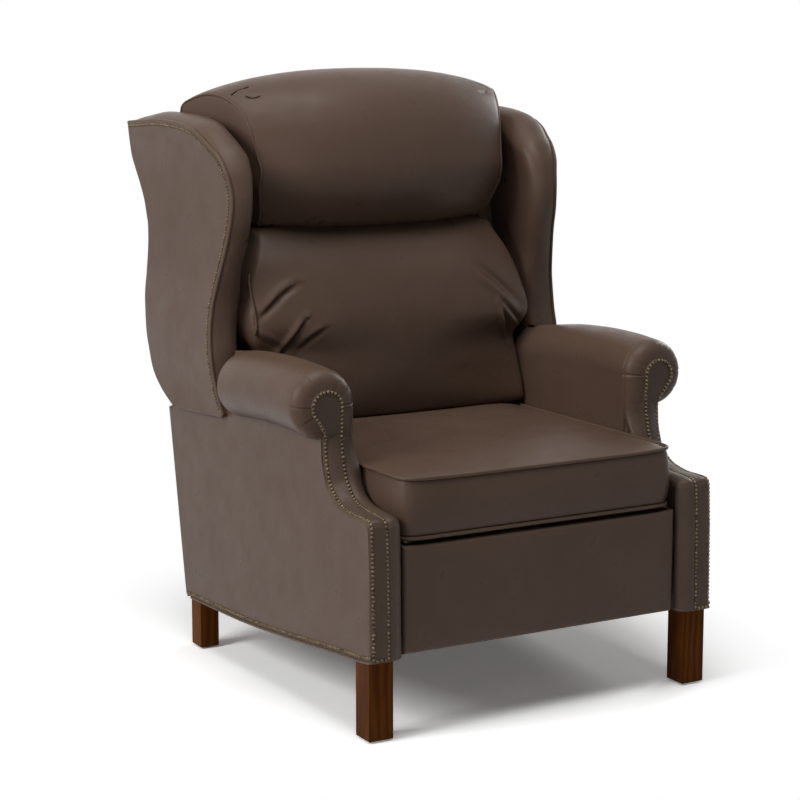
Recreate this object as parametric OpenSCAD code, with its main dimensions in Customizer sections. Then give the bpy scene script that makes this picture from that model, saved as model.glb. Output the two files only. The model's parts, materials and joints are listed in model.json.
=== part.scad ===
// Wingback recliner with a push-back seat and a lazy-tong footrest.
// The origin is on the floor, in the middle of the overall width and depth.
// +Z is up and the seat faces -Y. Inside at_front() the lengths along Y are measured
// backwards from the plane of the front posts. The right side is the one at +X.

/* [Overall] */
// Depth from the front posts to the tips of the wings
overall_depth = 940; // [900:5:1000]
// Height of the head bolster above the floor
overall_height = 1122; // [1090:1:1160]

/* [Legs] */
// Width and depth of a front leg
leg_size = 47; // [40:1:54]
// How far the outer faces of the front legs lie inside the base
leg_inset = 3; // [0:0.5:8]
// Front face of the front legs behind the posts
leg_setback = 14; // [8:1:24]
// Width of a rear leg
rear_leg_width = 38; // [30:1:44]
// Depth of a rear leg
rear_leg_depth = 42; // [36:1:50]
// Front face of the rear legs in front of the rear hem
rear_leg_inset = 65; // [56:1:80]
// Height of the hem above the floor at the front
hem_front = 146; // [136:1:156]
// Height of the hem above the floor at the rear legs
hem_rear = 94; // [84:1:104]
// Thickness of the glides under the legs
glide_height = 3; // [2:0.5:4]
// Radius of the glides
glide_radius = 12; // [9:1:14]

/* [Base] */
// Half the width over the base at its front
base_half = 358; // [357:0.5:359]
// Thickness of an upholstered side at the front
side_thickness = 28; // [26:1:30]
// How much wider the base is on each side at its rear
side_flare = 9; // [6:1:10]
// How far the wing tips reach behind the top of the base
back_overhang = 136; // [130:1:142]
// How far the rear of the base slopes in from its top to its hem
base_rear_slope = 67; // [62:1:72]
// Height of the side behind the arm roll
side_rear_top = 466; // [460:1:470]
// Thickness of the rear panel
rear_panel_thickness = 16; // [12:1:18]
// Top of the rear panel under the hem of the wings
rear_panel_drop = 71; // [69:1:83]
// Depth of the cross rails of the base
base_rail_depth = 22; // [18:1:26]
// Height of the cross rails of the base
base_rail_height = 60; // [40:1:80]

/* [Arms] */
// Width of a front post
post_width = 66; // [64:0.5:68]
// Height of the top of the post above the floor
post_top = 390; // [384:1:394]
// Depth of the arm stump at its foot
stump_depth = 200; // [190:1:210]
// Radius of the arm roll
roll_radius = 62; // [58:0.5:64]
// Middle of the arm roll inside the outer face of the base
roll_inset = 6; // [4:0.5:8]
// Height of the middle of the arm roll
roll_z = 559; // [556:0.5:562]
// Front of the arm roll behind the posts
roll_front = 166; // [162:1:170]
// Rear end of the arm roll in front of the recline pivot
roll_rear_inset = 186; // [180:1:194]
// Width of the facing between its nail rows
facing_width = 32; // [28:1:36]
// Thickness of the facing
facing_thickness = 3; // [2:0.5:4]
// Radius of the keyhole at the top of the facing
keyhole_radius = 30; // [26:1:34]
// Rear end of the padded inside of the arm in front of the recline pivot
inside_arm_inset = 39; // [36:1:50]

/* [Seat] */
// Gap between the seat cushion and the inner face of a post
seat_side_gap = 12; // [8:1:16]
// Height of the underside of the seat cushion
seat_bottom = 346; // [344:1:348]
// Height of the top welt of the seat cushion
seat_top = 450; // [444:1:456]
// Front of the seat cushion behind the posts
seat_front = 20; // [18:1:24]
// Rear of the seat cushion in front of the recline pivot
seat_rear_inset = 90; // [84:1:98]
// Crown of the seat cushion above its top welt
seat_crown = 26; // [18:1:32]
// Thickness of the seat deck
deck_thickness = 10; // [8:1:12]
// Height of the seat rails
seat_rail_height = 32; // [28:1:34]
// Thickness of the seat rails
seat_rail_thickness = 15; // [12:1:16]
// Distance that the seat glides forward at full recline
seat_travel = 61; // [50:1:62]

/* [Footrest] */
// Gap between the footrest panel and a post
panel_side_gap = 7; // [5:0.5:10]
// Front face of the panel behind the posts
panel_front = 15; // [12:1:18]
// Thickness of the panel
panel_thickness = 27; // [24:1:28]
// Height of the top edge of the panel
panel_top = 336; // [332:1:337]
// Length of a bar of the tong between its end pivots
bar_length = 162; // [156:1:164]
// Width of a bar
bar_width = 14; // [12:0.5:15]
// Thickness of a bar
bar_thickness = 4; // [3:0.5:4]
// Gap between neighbouring bars
bar_gap = 0.5; // [0.4:0.1:0.8]
// Radius of a rivet
rivet_radius = 3.5; // [3:0.1:4]
// Radial clearance of a rivet in its bore
rivet_clearance = 0.05; // [0.03:0.01:0.09]
// Main pivot of the tong behind the posts
tong_y = 108; // [106:0.5:112]
// Height of the main pivot of the tong
tong_z = 164; // [162:0.5:166]
// Rise of the bars that go up, at rest, in degrees
rise_at_rest = 88; // [87.5:0.1:88.5]
// Fall of the bars that go down, at rest, in degrees
fall_at_rest = 80; // [79.5:0.1:80.5]
// Turn of the bars that go up, to full extension, in degrees
rise_turn = 46; // [40:1:48]
// Turn of the bars that go down, to full extension, in degrees
fall_turn = 88; // [82:1:88]

/* [Back] */
// Recline pivot in front of the top of the base's rear
pivot_inset = 140; // [136:0.5:144]
// Height of the recline pivot
pivot_z = 470; // [467:0.5:473]
// Radius of the recline pivot pin
pivot_radius = 6; // [5:0.5:7]
// Greatest recline in degrees
recline_turn = 30; // [26:1:30]
// Distance of the drive stud from the recline pivot
drive_reach = 118; // [114:1:120]
// Radius of the drive stud
drive_radius = 5; // [4:0.5:6]
// Rake of the back posts in degrees
back_rake = 12; // [11:0.2:12.6]
// Width of a back post
back_post_width = 22; // [18:1:24]
// Depth of a back post
back_post_depth = 46; // [40:1:50]
// Thickness of the steel brackets and plates
plate_thickness = 4; // [3:0.5:4]
// Height of the rails of the back frame
back_rail_height = 50; // [40:1:60]
// Thickness of the rails of the back frame
back_rail_thickness = 20; // [16:1:24]
// Thickness of the outside back
outside_back_thickness = 10; // [8:1:12]

/* [Wings] */
// Height of the wing hem at the wing's front
wing_hem = 483; // [480:1:486]
// How far the wings reach in front of the recline pivot
wing_reach = 140; // [136:1:144]
// How far the wings stand out from the front of the base, at their rear
wing_overhang = 28; // [27:0.5:30]
// Thickness of the wing's outside shell
wing_shell = 8; // [7:0.5:8]
// Thickness of the wing with its pad
wing_thickness = 54; // [48:1:56]
// Rise of the top edge of the wing in its middle
wing_arch = 9; // [4:1:14]

/* [Cushions] */
// Gap between the back cushion and the plane of a post's inner face
back_cushion_gap = 4; // [3:1:8]
// How far the ears of the back cushion reach over the arms
back_ear_reach = 36; // [30:1:38]
// How much narrower the back cushion is at its top, on each side
back_top_inset = 38; // [30:1:48]
// Height of the underside of the back cushion
back_cushion_bottom = 459; // [457:1:462]
// Thickness of the back cushion at its edge
back_cushion_thickness = 104; // [96:1:110]
// Crown of the back cushion
back_cushion_crown = 34; // [26:1:40]
// Height of the bolster from its underside to its top
bolster_height = 292; // [284:1:296]
// Rise of the bolster above the tips of the wings
bolster_rise = 106; // [100:1:112]
// End of the bolster's front inside the outer face of a wing
bolster_inset = 116; // [110:1:124]
// End of the bolster's top inside the outer face of a wing
bolster_top_inset = 48; // [44:1:60]
// Thickness of the bolster at its ends
bolster_thickness = 150; // [140:1:156]
// Crown of the bolster
bolster_crown = 40; // [30:1:46]

/* [Hidden] */

leather = [0.33, 0.28, 0.25];
leather_dark = [0.25, 0.21, 0.19];
mahogany = [0.36, 0.14, 0.06];
beech = [0.72, 0.58, 0.42];
steel = [0.35, 0.36, 0.38];
nylon = [0.15, 0.15, 0.16];

seat_gap = 0.3;        // gap between soft pieces and what carries them
running_gap = 0.5;     // gap of the runners in their channels
overrun = 1;           // extra length of a cutting solid
leg_chamfer = 2;       // chamfer round the foot of a leg
round_steps = 8;       // segments of a rounded corner
curve_steps = 4;       // segments between two points of a smooth curve
round_fn = 48;         // facets in a view of a round piece

// Depths, from the rear of the chair forwards
base_top_depth = overall_depth - back_overhang;
base_hem_depth = base_top_depth - base_rear_slope;
rear_leg_y = base_hem_depth - rear_leg_inset;
pivot_y = base_top_depth - pivot_inset;
roll_rear = pivot_y - roll_rear_inset;
inside_arm_rear = pivot_y - inside_arm_inset;
seat_rear = pivot_y - seat_rear_inset;
wing_front = pivot_y - wing_reach;

// Positions across the chair, from the outside in
side_inner = base_half - side_thickness;
post_inner = base_half - post_width;
leg_spread = (base_half - leg_inset) * 2;
roll_x = base_half - roll_inset;
seat_half = post_inner - seat_side_gap;
panel_half = post_inner - panel_side_gap;
wing_half = base_half + wing_overhang;
back_cushion_half = post_inner - back_cushion_gap;
back_ear_half = back_cushion_half + back_ear_reach;
back_top_half = back_cushion_half - back_top_inset;
bolster_half = wing_half - bolster_inset;
bolster_top_half = wing_half - bolster_top_inset;
seat_rail_outer = post_inner - running_gap * 4;
seat_rail_inner = seat_rail_outer - seat_rail_thickness;
tong_plate_inner = seat_rail_inner - plate_thickness;
rise_bar_inner = tong_plate_inner - bar_gap - bar_thickness;
fall_bar_inner = rise_bar_inner - bar_gap - bar_thickness;
panel_bracket_inner = fall_bar_inner - bar_gap - bar_thickness;
panel_link_inner = panel_bracket_inner - bar_gap - bar_thickness;
linkage_clear_half = panel_link_inner - bar_gap * 6;
back_post_outer = side_inner - plate_thickness * 3;
back_post_inner = back_post_outer - back_post_width;
bracket_outer = back_post_outer + plate_thickness;
pivot_plate_inner = side_inner - plate_thickness;

// Heights and depths that follow the driving sizes
rear_panel_top = wing_hem - rear_panel_drop;
wing_top = overall_height - bolster_rise;
bolster_bottom = overall_height - bolster_height;
back_cushion_top = bolster_bottom - running_gap * 4;
ear_share = 0.523;
back_ear_height = lerp(back_cushion_bottom, back_cushion_top, ear_share);
seat_rail_top = seat_bottom - seat_gap - deck_thickness;
seat_rail_bottom = seat_rail_top - seat_rail_height;
inside_arm_bottom = seat_bottom + (seat_top - seat_bottom) / 2;
inside_arm_top = roll_z - roll_radius / 4;
linkage_depth = tong_y + bar_length / 3;
panel_height = panel_top - hem_front;
wing_height = wing_top - wing_hem;
wing_depth = overall_depth - wing_front;
roll_clear = roll_radius + seat_gap;
roll_edge = roll_radius / 4;
post_round = leg_size / 5;
boss_radius = bar_width / 2;

// Shares of the sweep from the post's top to the roll, as [depth share, height share]
sweep_shares = [[0, 0], [0.38, 0.005], [0.62, 0.07], [0.84, 0.28], [0.97, 0.62], [1, 1]];
// Shares of the front edge of the wing, as [height share, depth share, half-width share]
wing_front_shares = [
    [0, 0.031, 0.969], [0.128, 0.077, 0.997], [0.289, 0.108, 1.003], [0.448, 0.094, 0.974],
    [0.589, 0.043, 0.946], [0.754, 0, 0.930], [0.863, 0.031, 0.948], [0.910, 0.077, 0.960],
    [0.942, 0.139, 0.974], [0.970, 0.202, 0.987], [1, 0.29, 0.993]
];
// Shares of the rear edge of the wing, as [height share, depth share, half-width share]
wing_rear_shares = [
    [0, 0.531, 1], [0.069, 0.712, 1], [0.201, 0.805, 1], [0.349, 0.829, 1],
    [0.520, 0.784, 1], [0.651, 0.776, 1], [0.811, 0.841, 1], [1, 1, 1]
];
// Height shares of the rows of the wing, closer together round its top corner
wing_levels = [
    0, 0.04, 0.08, 0.14, 0.2, 0.27, 0.34, 0.41, 0.48, 0.56, 0.64, 0.72, 0.79, 0.85, 0.9, 0.935,
    0.96, 0.98, 1
];
// Shares of the profile of the outside back under the wing's corner, as [height share, depth share]
apron_shares = [[-0.155, 0.604], [-0.053, 0.610], [0, 0.630], [0.04, 0.668]];
// Share of the wing's height at which the outside back narrows to pass between the sides
apron_share = 0.085;

// Small functions
function lerp(a, b, t) = a + (b - a) * t;
function smooth_at(points, i, t) =
    let (n = len(points), a = points[max(i - 1, 0)], b = points[i], c = points[min(i + 1, n - 1)],
         d = points[min(i + 2, n - 1)])
    0.5 * (2 * b + (c - a) * t + (2 * a - 5 * b + 4 * c - d) * t * t
           + (3 * b - a - 3 * c + d) * t * t * t);
function smooth(points, steps = curve_steps) = concat(
    [for (i = [0:len(points) - 2], k = [0:steps - 1]) smooth_at(points, i, k / steps)],
    [points[len(points) - 1]]);
// Point of a smooth edge, given as [x, y, z] points of rising z, at one height
function at_height(points, z) =
    let (i = max([for (k = [0:len(points) - 2]) if (points[k][2] <= z) k]), a = points[i],
         b = points[i + 1], p = smooth_at(points, i, (z - a[2]) / (b[2] - a[2])))
    [p[0], p[1], z];
function back_plane(z) =
    pivot_y - back_post_depth / 2 / cos(back_rake) + (z - pivot_z) * tan(back_rake);
function hem_at(y) = hem_rear
    + (hem_front - hem_rear) * pow(max(0, 1 - y / (rear_leg_y - leg_size)), 1.6);
function side_outer(y) = base_half + side_flare * y / base_top_depth;

// Unit direction of a bar in the plane of the linkage, by its rise above forwards
function bar_dir(rise) = [-cos(rise), sin(rise)];
function rise_dir(share) = bar_dir(rise_at_rest - rise_turn * share);
function fall_dir(share) = bar_dir(-fall_at_rest + fall_turn * share);
tong_pivot = [tong_y, tong_z];
rise_dir_rest = rise_dir(0);
fall_dir_rest = fall_dir(0);
rear_top_pivot = tong_pivot + bar_length * rise_dir_rest;
rear_cross_pivot = tong_pivot + bar_length / 2 * rise_dir_rest;
guide_pivot = rear_cross_pivot - bar_length / 2 * fall_dir_rest;
rear_foot_pivot = rear_cross_pivot + bar_length / 2 * fall_dir_rest;
front_cross_pivot = rear_top_pivot + bar_length / 2 * fall_dir_rest;
front_foot_pivot = rear_top_pivot + bar_length * fall_dir_rest;
panel_pivot = rear_foot_pivot + bar_length * rise_dir_rest;
panel_link_pivot = panel_pivot + bar_length / 2 * fall_dir_rest;
// Where the guide stud lies in the tong plate, at a share of the footrest's travel
function guide_path(share) =
    tong_pivot + bar_length / 2 * (rise_dir(share) - fall_dir(share));
function normal_of(a, b) = let (d = b - a) [-d[1], d[0]] / norm(d);
drive_angle = recline_turn / 2;
drive_stud = [pivot_y + drive_reach * sin(drive_angle), pivot_z - drive_reach * cos(drive_angle)];
drive_drop = drive_reach * (1 - cos(drive_angle));

// Outlines of the wing's edges and of the outside back
function wing_front_points() = [for (s = wing_front_shares)
    [wing_half * s[2], wing_front + wing_depth * s[1], wing_hem + wing_height * s[0]]];
function wing_rear_points() = [for (s = wing_rear_shares)
    [wing_half * s[2], wing_front + wing_depth * s[1], wing_hem + wing_height * s[0]]];
function outside_back_curve() = smooth(concat(
    [for (s = apron_shares) [wing_front + wing_depth * s[1], wing_hem + wing_height * s[0]]],
    [for (i = [2:len(wing_rear_shares) - 1]) let (s = wing_rear_shares[i])
        [wing_front + wing_depth * s[1], wing_hem + wing_height * s[0]]]));

// Helpers that place and shape
module at_front() { translate([0, -overall_depth / 2, 0]) children(); }
module on_side(side) { if (side < 0) mirror([1, 0, 0]) children(); else children(); }
module across(x_start, x_end) {
    translate([x_start, 0, 0]) rotate([90, 0, 90]) linear_extrude(x_end - x_start) children();
}
module rod_across(x_start, x_end, centre, radius) {
    translate([x_start, centre[0], centre[1]]) rotate([0, 90, 0])
        cylinder(h = x_end - x_start, r = radius, $fn = round_fn);
}
module box(low, high) { translate(low) cube(high - low); }

// A closed skin over rings that all have the same even number of points. Each end is
// closed by a strip that zips the first half of the ring to its second half.
module skin(rings) {
    rows = len(rings);
    n = len(rings[0]);
    last = (rows - 1) * n;
    polyhedron(points = [for (r = rings, p = r) p], faces = concat(
        [for (r = [0:rows - 2], k = [0:n - 1]) let (i = r * n + k, j = r * n + (k + 1) % n)
            [i, j + n, j]],
        [for (r = [0:rows - 2], k = [0:n - 1]) let (i = r * n + k, j = r * n + (k + 1) % n)
            [i, i + n, j + n]],
        [for (k = [0:n / 2 - 2]) [k, k + 1, n - 2 - k]],
        [for (k = [0:n / 2 - 2]) [k, n - 2 - k, n - 1 - k]],
        [for (k = [0:n / 2 - 2]) [last + k, last + n - 2 - k, last + k + 1]],
        [for (k = [0:n / 2 - 2]) [last + k, last + n - 1 - k, last + n - 2 - k]]));
}

// Legs

module leg(width, depth, top) {
    translate([-width / 2, -depth / 2, glide_height]) difference() {
        cube([width, depth, top - glide_height]);
        for (turn = [0:3])
            translate([width / 2, depth / 2, 0]) rotate([0, 0, turn * 90])
                translate([(turn % 2 == 0 ? width : depth) / 2, 0, 0]) rotate([0, 45, 0])
                    cube([leg_chamfer, width + depth, leg_chamfer], center = true);
    }
}

module leg_front(side) {
    color(mahogany) on_side(side)
        translate([(leg_spread - leg_size) / 2, leg_setback + leg_size / 2, 0])
            leg(leg_size, leg_size, hem_front);
}

rear_leg_x = side_outer(rear_leg_y) - seat_gap - rear_leg_width / 2;

module leg_rear(side) {
    color(mahogany) on_side(side)
        translate([rear_leg_x, rear_leg_y + rear_leg_depth / 2, 0])
            leg(rear_leg_width, rear_leg_depth, hem_rear);
}

module leg_glides() {
    color(nylon) for (side = [-1, 1]) on_side(side) {
        translate([(leg_spread - leg_size) / 2, leg_setback + leg_size / 2, 0])
            cylinder(h = glide_height, r = glide_radius, $fn = round_fn);
        translate([rear_leg_x, rear_leg_y + rear_leg_depth / 2, 0])
            cylinder(h = glide_height, r = glide_radius, $fn = round_fn);
    }
}

// Base

hem_steps = 8;
hem_flat_y = rear_leg_y - leg_size;
function hem_points(from_y) = [for (i = [0:hem_steps])
    let (y = lerp(from_y, hem_flat_y, i / hem_steps)) [y, hem_at(y)]];

// Plan of the base, which flares to the rear, as a solid that cuts the sides to width
module base_plan(inner) {
    linear_extrude(overall_height)
        polygon([[inner, -stump_depth], [base_half - side_flare * stump_depth / base_top_depth,
            -stump_depth], [side_outer(overall_depth), overall_depth], [inner, overall_depth]]);
}

module roll_cut() {
    translate([roll_x, roll_front - stump_depth, roll_z]) rotate([-90, 0, 0])
        cylinder(h = roll_rear - roll_front + stump_depth + seat_gap, r = roll_clear,
            $fn = round_fn);
}

module side(side) {
    color(leather) on_side(side) difference() {
        intersection() {
            across(side_inner, base_half + side_flare * 2) polygon(concat(
                hem_points(stump_depth), [[base_hem_depth, hem_rear],
                [base_top_depth, side_rear_top], [pivot_y, pivot_z + side_thickness],
                [roll_rear + roll_radius, inside_arm_top], [stump_depth, inside_arm_top]]));
            base_plan(side_inner);
        }
        roll_cut();
    }
}

// Side view of the post's front and the sweep above it, from the foot to the roll
function post_front_points() = concat(
    [[facing_thickness, hem_front], [facing_thickness, post_top - post_round]],
    [for (k = [1:round_steps - 1]) let (a = 90 * k / round_steps)
        [facing_thickness + post_round * (1 - cos(a)), post_top - post_round * (1 - sin(a))]],
    smooth([for (s = sweep_shares) [lerp(facing_thickness + post_round, roll_front, s[0]),
        lerp(post_top, roll_z - roll_radius, s[1])]]));

module arm_stump(side) {
    color(leather) on_side(side) difference() {
        intersection() {
            across(post_inner, base_half + side_flare) polygon(concat(
                post_front_points(), [[roll_front, inside_arm_top], [stump_depth, inside_arm_top],
                [stump_depth, hem_at(stump_depth)], [leg_setback + leg_size, hem_front],
                [leg_setback, hem_front]]));
            base_plan(post_inner);
        }
        roll_cut();
    }
}

// Arms

facing_outer = base_half - facing_thickness;
facing_inner = facing_outer - facing_width;
function raised(points, lift) = [for (i = [0:len(points) - 1])
    points[i] + lift * normal_of(points[max(i - 1, 0)], points[min(i + 1, len(points) - 1)])];
function backwards(points) = [for (i = [len(points) - 1:-1:0]) points[i]];

module arm_facing(side) {
    path = concat(post_front_points(), [[roll_front, roll_z]]);
    color(leather_dark) on_side(side) {
        across(facing_inner, facing_outer)
            polygon(concat(path, backwards(raised(path, facing_thickness))));
        translate([roll_x, roll_front - facing_thickness, roll_z]) rotate([-90, 0, 0])
            cylinder(h = facing_thickness, r = keyhole_radius, $fn = round_fn);
    }
}

function quarter(centre, radius, from_angle) = [for (k = [0:round_steps])
    centre + radius * [cos(from_angle + 90 * k / round_steps), sin(from_angle + 90 * k / round_steps)]];

module arm_roll(side) {
    length = roll_rear - roll_front;
    rear_edge = roll_edge * 1.4;
    color(leather) on_side(side) translate([roll_x, roll_front, roll_z]) rotate([-90, 0, 0])
        rotate_extrude($fn = round_fn) polygon(concat(
            [[0, 0]], quarter([roll_radius - roll_edge, roll_edge], roll_edge, -90),
            quarter([roll_radius - rear_edge, length - rear_edge], rear_edge, 0),
            [[0, length]]));
}

module arm_inside(side) {
    color(leather) on_side(side) difference() {
        across(post_inner, side_inner) polygon([
            [stump_depth, inside_arm_bottom], [inside_arm_rear, inside_arm_bottom],
            [inside_arm_rear, pivot_z], [roll_rear + roll_radius, inside_arm_top],
            [stump_depth, inside_arm_top]]);
        roll_cut();
    }
}

// Rear and rails of the base

function rear_edge_y(z) =
    lerp(base_hem_depth, base_top_depth, (z - hem_rear) / (side_rear_top - hem_rear));

module rear_panel() {
    color(leather) across(-side_inner, side_inner) polygon([
        [rear_edge_y(hem_rear) - rear_panel_thickness, hem_rear], [rear_edge_y(hem_rear), hem_rear],
        [rear_edge_y(rear_panel_top), rear_panel_top],
        [rear_edge_y(rear_panel_top) - rear_panel_thickness, rear_panel_top]]);
}

module rear_rail() {
    rail_rear = base_hem_depth - rear_panel_thickness;
    color(beech) box([-side_inner, rail_rear - base_rail_depth, hem_rear],
        [side_inner, rail_rear, hem_rear + base_rail_height]);
}

module front_stretcher() {
    color(beech) box([-side_inner, stump_depth, hem_front],
        [side_inner, stump_depth + base_rail_depth, hem_front + base_rail_height]);
}

// Glide of the seat: a runner on the seat rail inside a channel on the base

runner_height = seat_rail_height - plate_thickness * 1.5;
runner_bottom = seat_rail_top - seat_rail_height / 2 - runner_height / 2;
runner_front = stump_depth + seat_travel + base_rail_depth / 2;
runner_rear = inside_arm_rear - base_rail_depth / 2;
channel_lip = post_inner + plate_thickness;

module glide_channel(side) {
    low = runner_bottom - running_gap;
    high = runner_bottom + runner_height + running_gap;
    color(steel) on_side(side) difference() {
        box([channel_lip, stump_depth, low - plate_thickness],
            [side_inner, inside_arm_rear, high + plate_thickness]);
        box([channel_lip - overrun, stump_depth - overrun, low],
            [side_inner - plate_thickness, inside_arm_rear + overrun, high]);
    }
}

module pivot_plate(side) {
    color(steel) on_side(side) difference() {
        box([pivot_plate_inner, pivot_y - pivot_radius * 6, pivot_z - pivot_radius * 6],
            [side_inner, pivot_y + pivot_radius * 6, pivot_z + pivot_radius * 4]);
        rod_across(pivot_plate_inner - overrun, side_inner + overrun, [pivot_y, pivot_z],
            pivot_radius + rivet_clearance);
    }
}

// Seat carriage

seat_frame_front = panel_front + panel_thickness + running_gap * 8;
seat_rail_rear = drive_stud[0] + drive_radius * 4;
front_rail_depth = seat_rail_thickness * 1.4;

module seat_rail(side) {
    color(beech) on_side(side)
        box([seat_rail_inner, seat_frame_front, seat_rail_bottom],
            [seat_rail_outer, seat_rail_rear, seat_rail_top]);
    color(nylon) on_side(side)
        box([seat_rail_outer, runner_front, runner_bottom],
            [side_inner - plate_thickness - running_gap, runner_rear, runner_bottom + runner_height]);
}

module seat_cross_rails() {
    color(beech) {
        for (y = [linkage_depth + front_rail_depth / 2, seat_rear - front_rail_depth])
            box([-seat_rail_inner, y, seat_rail_bottom],
                [seat_rail_inner, y + front_rail_depth, seat_rail_top]);
        box([-linkage_clear_half, seat_frame_front, seat_rail_bottom],
            [linkage_clear_half, seat_frame_front + front_rail_depth, seat_rail_top]);
    }
}

module seat_deck() {
    color(beech) translate([0, 0, seat_rail_top]) linear_extrude(deck_thickness) polygon([
        [-linkage_clear_half, seat_frame_front], [linkage_clear_half, seat_frame_front],
        [linkage_clear_half, linkage_depth], [seat_rail_outer, linkage_depth],
        [seat_rail_outer, seat_rear], [-seat_rail_outer, seat_rear],
        [-seat_rail_outer, linkage_depth], [-linkage_clear_half, linkage_depth]]);
}

module drive_plate(side) {
    slot_half = drive_radius + running_gap;
    color(steel) on_side(side) difference() {
        box([seat_rail_outer, drive_stud[0] - drive_reach / 2, seat_rail_bottom],
            [seat_rail_outer + plate_thickness, seat_rail_rear, drive_stud[1] + drive_radius * 3]);
        box([seat_rail_outer - overrun, drive_stud[0] - slot_half,
                drive_stud[1] - drive_drop - slot_half],
            [seat_rail_outer + plate_thickness + overrun, drive_stud[0] + slot_half,
                drive_stud[1] + slot_half]);
    }
}

// Footrest linkage

// A strap with round ends between two pivots, from one plane across the chair to another
module strap(x_start, x_end, a, b, half_width) {
    side_step = half_width * normal_of(a, b);
    across(x_start, x_end) polygon([a + side_step, b + side_step, b - side_step, a - side_step]);
    for (end = [a, b]) rod_across(x_start, x_end, end, half_width);
}
module bore(x_start, x_end, centre) {
    rod_across(x_start - overrun, x_end + overrun, centre, rivet_radius + rivet_clearance);
}

guide_steps = 12;
function guide_points() = [for (k = [0:guide_steps]) guide_path(k / guide_steps)];

module tong_plate(side) {
    slot_half = rivet_radius + running_gap;
    path = guide_points();
    edge = boss_radius * 2;
    color(steel) on_side(side) difference() {
        across(tong_plate_inner, seat_rail_inner) polygon([
            tong_pivot + [-edge, -boss_radius], tong_pivot + [edge, -boss_radius],
            [linkage_depth, tong_z + bar_length / 4], [linkage_depth, seat_rail_top],
            [tong_y - edge, seat_rail_top]]);
        bore(tong_plate_inner, seat_rail_inner, tong_pivot);
        across(tong_plate_inner - overrun, seat_rail_inner + overrun)
            polygon(concat(raised(path, slot_half), backwards(raised(path, -slot_half))));
        for (end = [path[0], path[guide_steps]])
            rod_across(tong_plate_inner - overrun, seat_rail_inner + overrun, end, slot_half);
    }
}

module rear_rise_bar(side) {
    outer = rise_bar_inner + bar_thickness;
    color(steel) on_side(side) {
        difference() {
            strap(rise_bar_inner, outer, tong_pivot, rear_top_pivot, boss_radius);
            for (hole = [rear_cross_pivot, rear_top_pivot]) bore(rise_bar_inner, outer, hole);
        }
        rod_across(outer, seat_rail_inner, tong_pivot, rivet_radius);
    }
}

module rear_fall_bar(side) {
    outer = fall_bar_inner + bar_thickness;
    color(steel) on_side(side) {
        strap(fall_bar_inner, outer, guide_pivot, rear_foot_pivot, boss_radius);
        for (pin = [rear_cross_pivot, rear_foot_pivot])
            rod_across(outer, rise_bar_inner + bar_thickness, pin, rivet_radius);
        rod_across(outer, seat_rail_inner - bar_gap, guide_pivot, rivet_radius);
    }
}

module front_rise_bar(side) {
    outer = rise_bar_inner + bar_thickness;
    color(steel) on_side(side) {
        difference() {
            strap(rise_bar_inner, outer, rear_foot_pivot, panel_pivot, boss_radius);
            for (hole = [rear_foot_pivot, front_cross_pivot]) bore(rise_bar_inner, outer, hole);
        }
        rod_across(panel_bracket_inner, rise_bar_inner, panel_pivot, rivet_radius);
    }
}

module front_fall_bar(side) {
    outer = fall_bar_inner + bar_thickness;
    color(steel) on_side(side) {
        strap(fall_bar_inner, outer, rear_top_pivot, front_foot_pivot, boss_radius);
        for (pin = [rear_top_pivot, front_cross_pivot])
            rod_across(outer, rise_bar_inner + bar_thickness, pin, rivet_radius);
        rod_across(panel_link_inner, fall_bar_inner, front_foot_pivot, rivet_radius);
    }
}

module panel_link(side) {
    outer = panel_link_inner + bar_thickness;
    color(steel) on_side(side) difference() {
        strap(panel_link_inner, outer, front_foot_pivot, panel_link_pivot, boss_radius);
        for (hole = [front_foot_pivot, panel_link_pivot]) bore(panel_link_inner, outer, hole);
    }
}

panel_rear = panel_front + panel_thickness;

module panel_bracket(side) {
    outer = panel_bracket_inner + bar_thickness;
    flange_low = panel_link_pivot[1] - bar_length / 4;
    color(steel) on_side(side) {
        difference() {
            union() {
                across(panel_bracket_inner, outer) polygon([
                    [panel_rear, panel_link_pivot[1] - boss_radius * 3],
                    panel_link_pivot + [boss_radius, -boss_radius / 2],
                    panel_pivot + [boss_radius, 0],
                    [panel_pivot[0], panel_pivot[1] + boss_radius],
                    [panel_rear, panel_pivot[1] + boss_radius / 2]]);
                rod_across(panel_bracket_inner, outer, panel_pivot, boss_radius);
                rod_across(panel_bracket_inner, outer, panel_link_pivot, boss_radius);
            }
            bore(panel_bracket_inner, outer, panel_pivot);
        }
        rod_across(panel_link_inner, panel_bracket_inner, panel_link_pivot, rivet_radius);
        box([outer - bar_width * 2, panel_rear, flange_low],
            [outer, panel_rear + bar_thickness / 2, panel_pivot[1]]);
    }
}

module tong_tube() {
    color(steel) rod_across(-rise_bar_inner, rise_bar_inner, tong_pivot, rivet_radius * 1.7);
}

module footrest_panel() {
    edge = panel_thickness / 3;
    color(leather) across(-panel_half, panel_half) polygon(concat(
        [[panel_rear, hem_front], [panel_rear, panel_top]],
        quarter([panel_front + edge, panel_top - edge], edge, 90),
        quarter([panel_front + edge, hem_front + edge], edge, 180)));
}

// Back frame

back_post_top = wing_top - back_rail_thickness;
function raked(z, depth_share) = [pivot_y + (z - pivot_z) * tan(back_rake)
    + (depth_share - 0.5) * back_post_depth / cos(back_rake), z];
back_post_foot = pivot_z + pivot_radius * 2;

module back_post(side) {
    color(beech) on_side(side) across(back_post_inner, back_post_outer) polygon([
        raked(back_post_foot, 0), raked(back_post_foot, 1),
        raked(back_post_top, 1), raked(back_post_top, 0)]);
}

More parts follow.
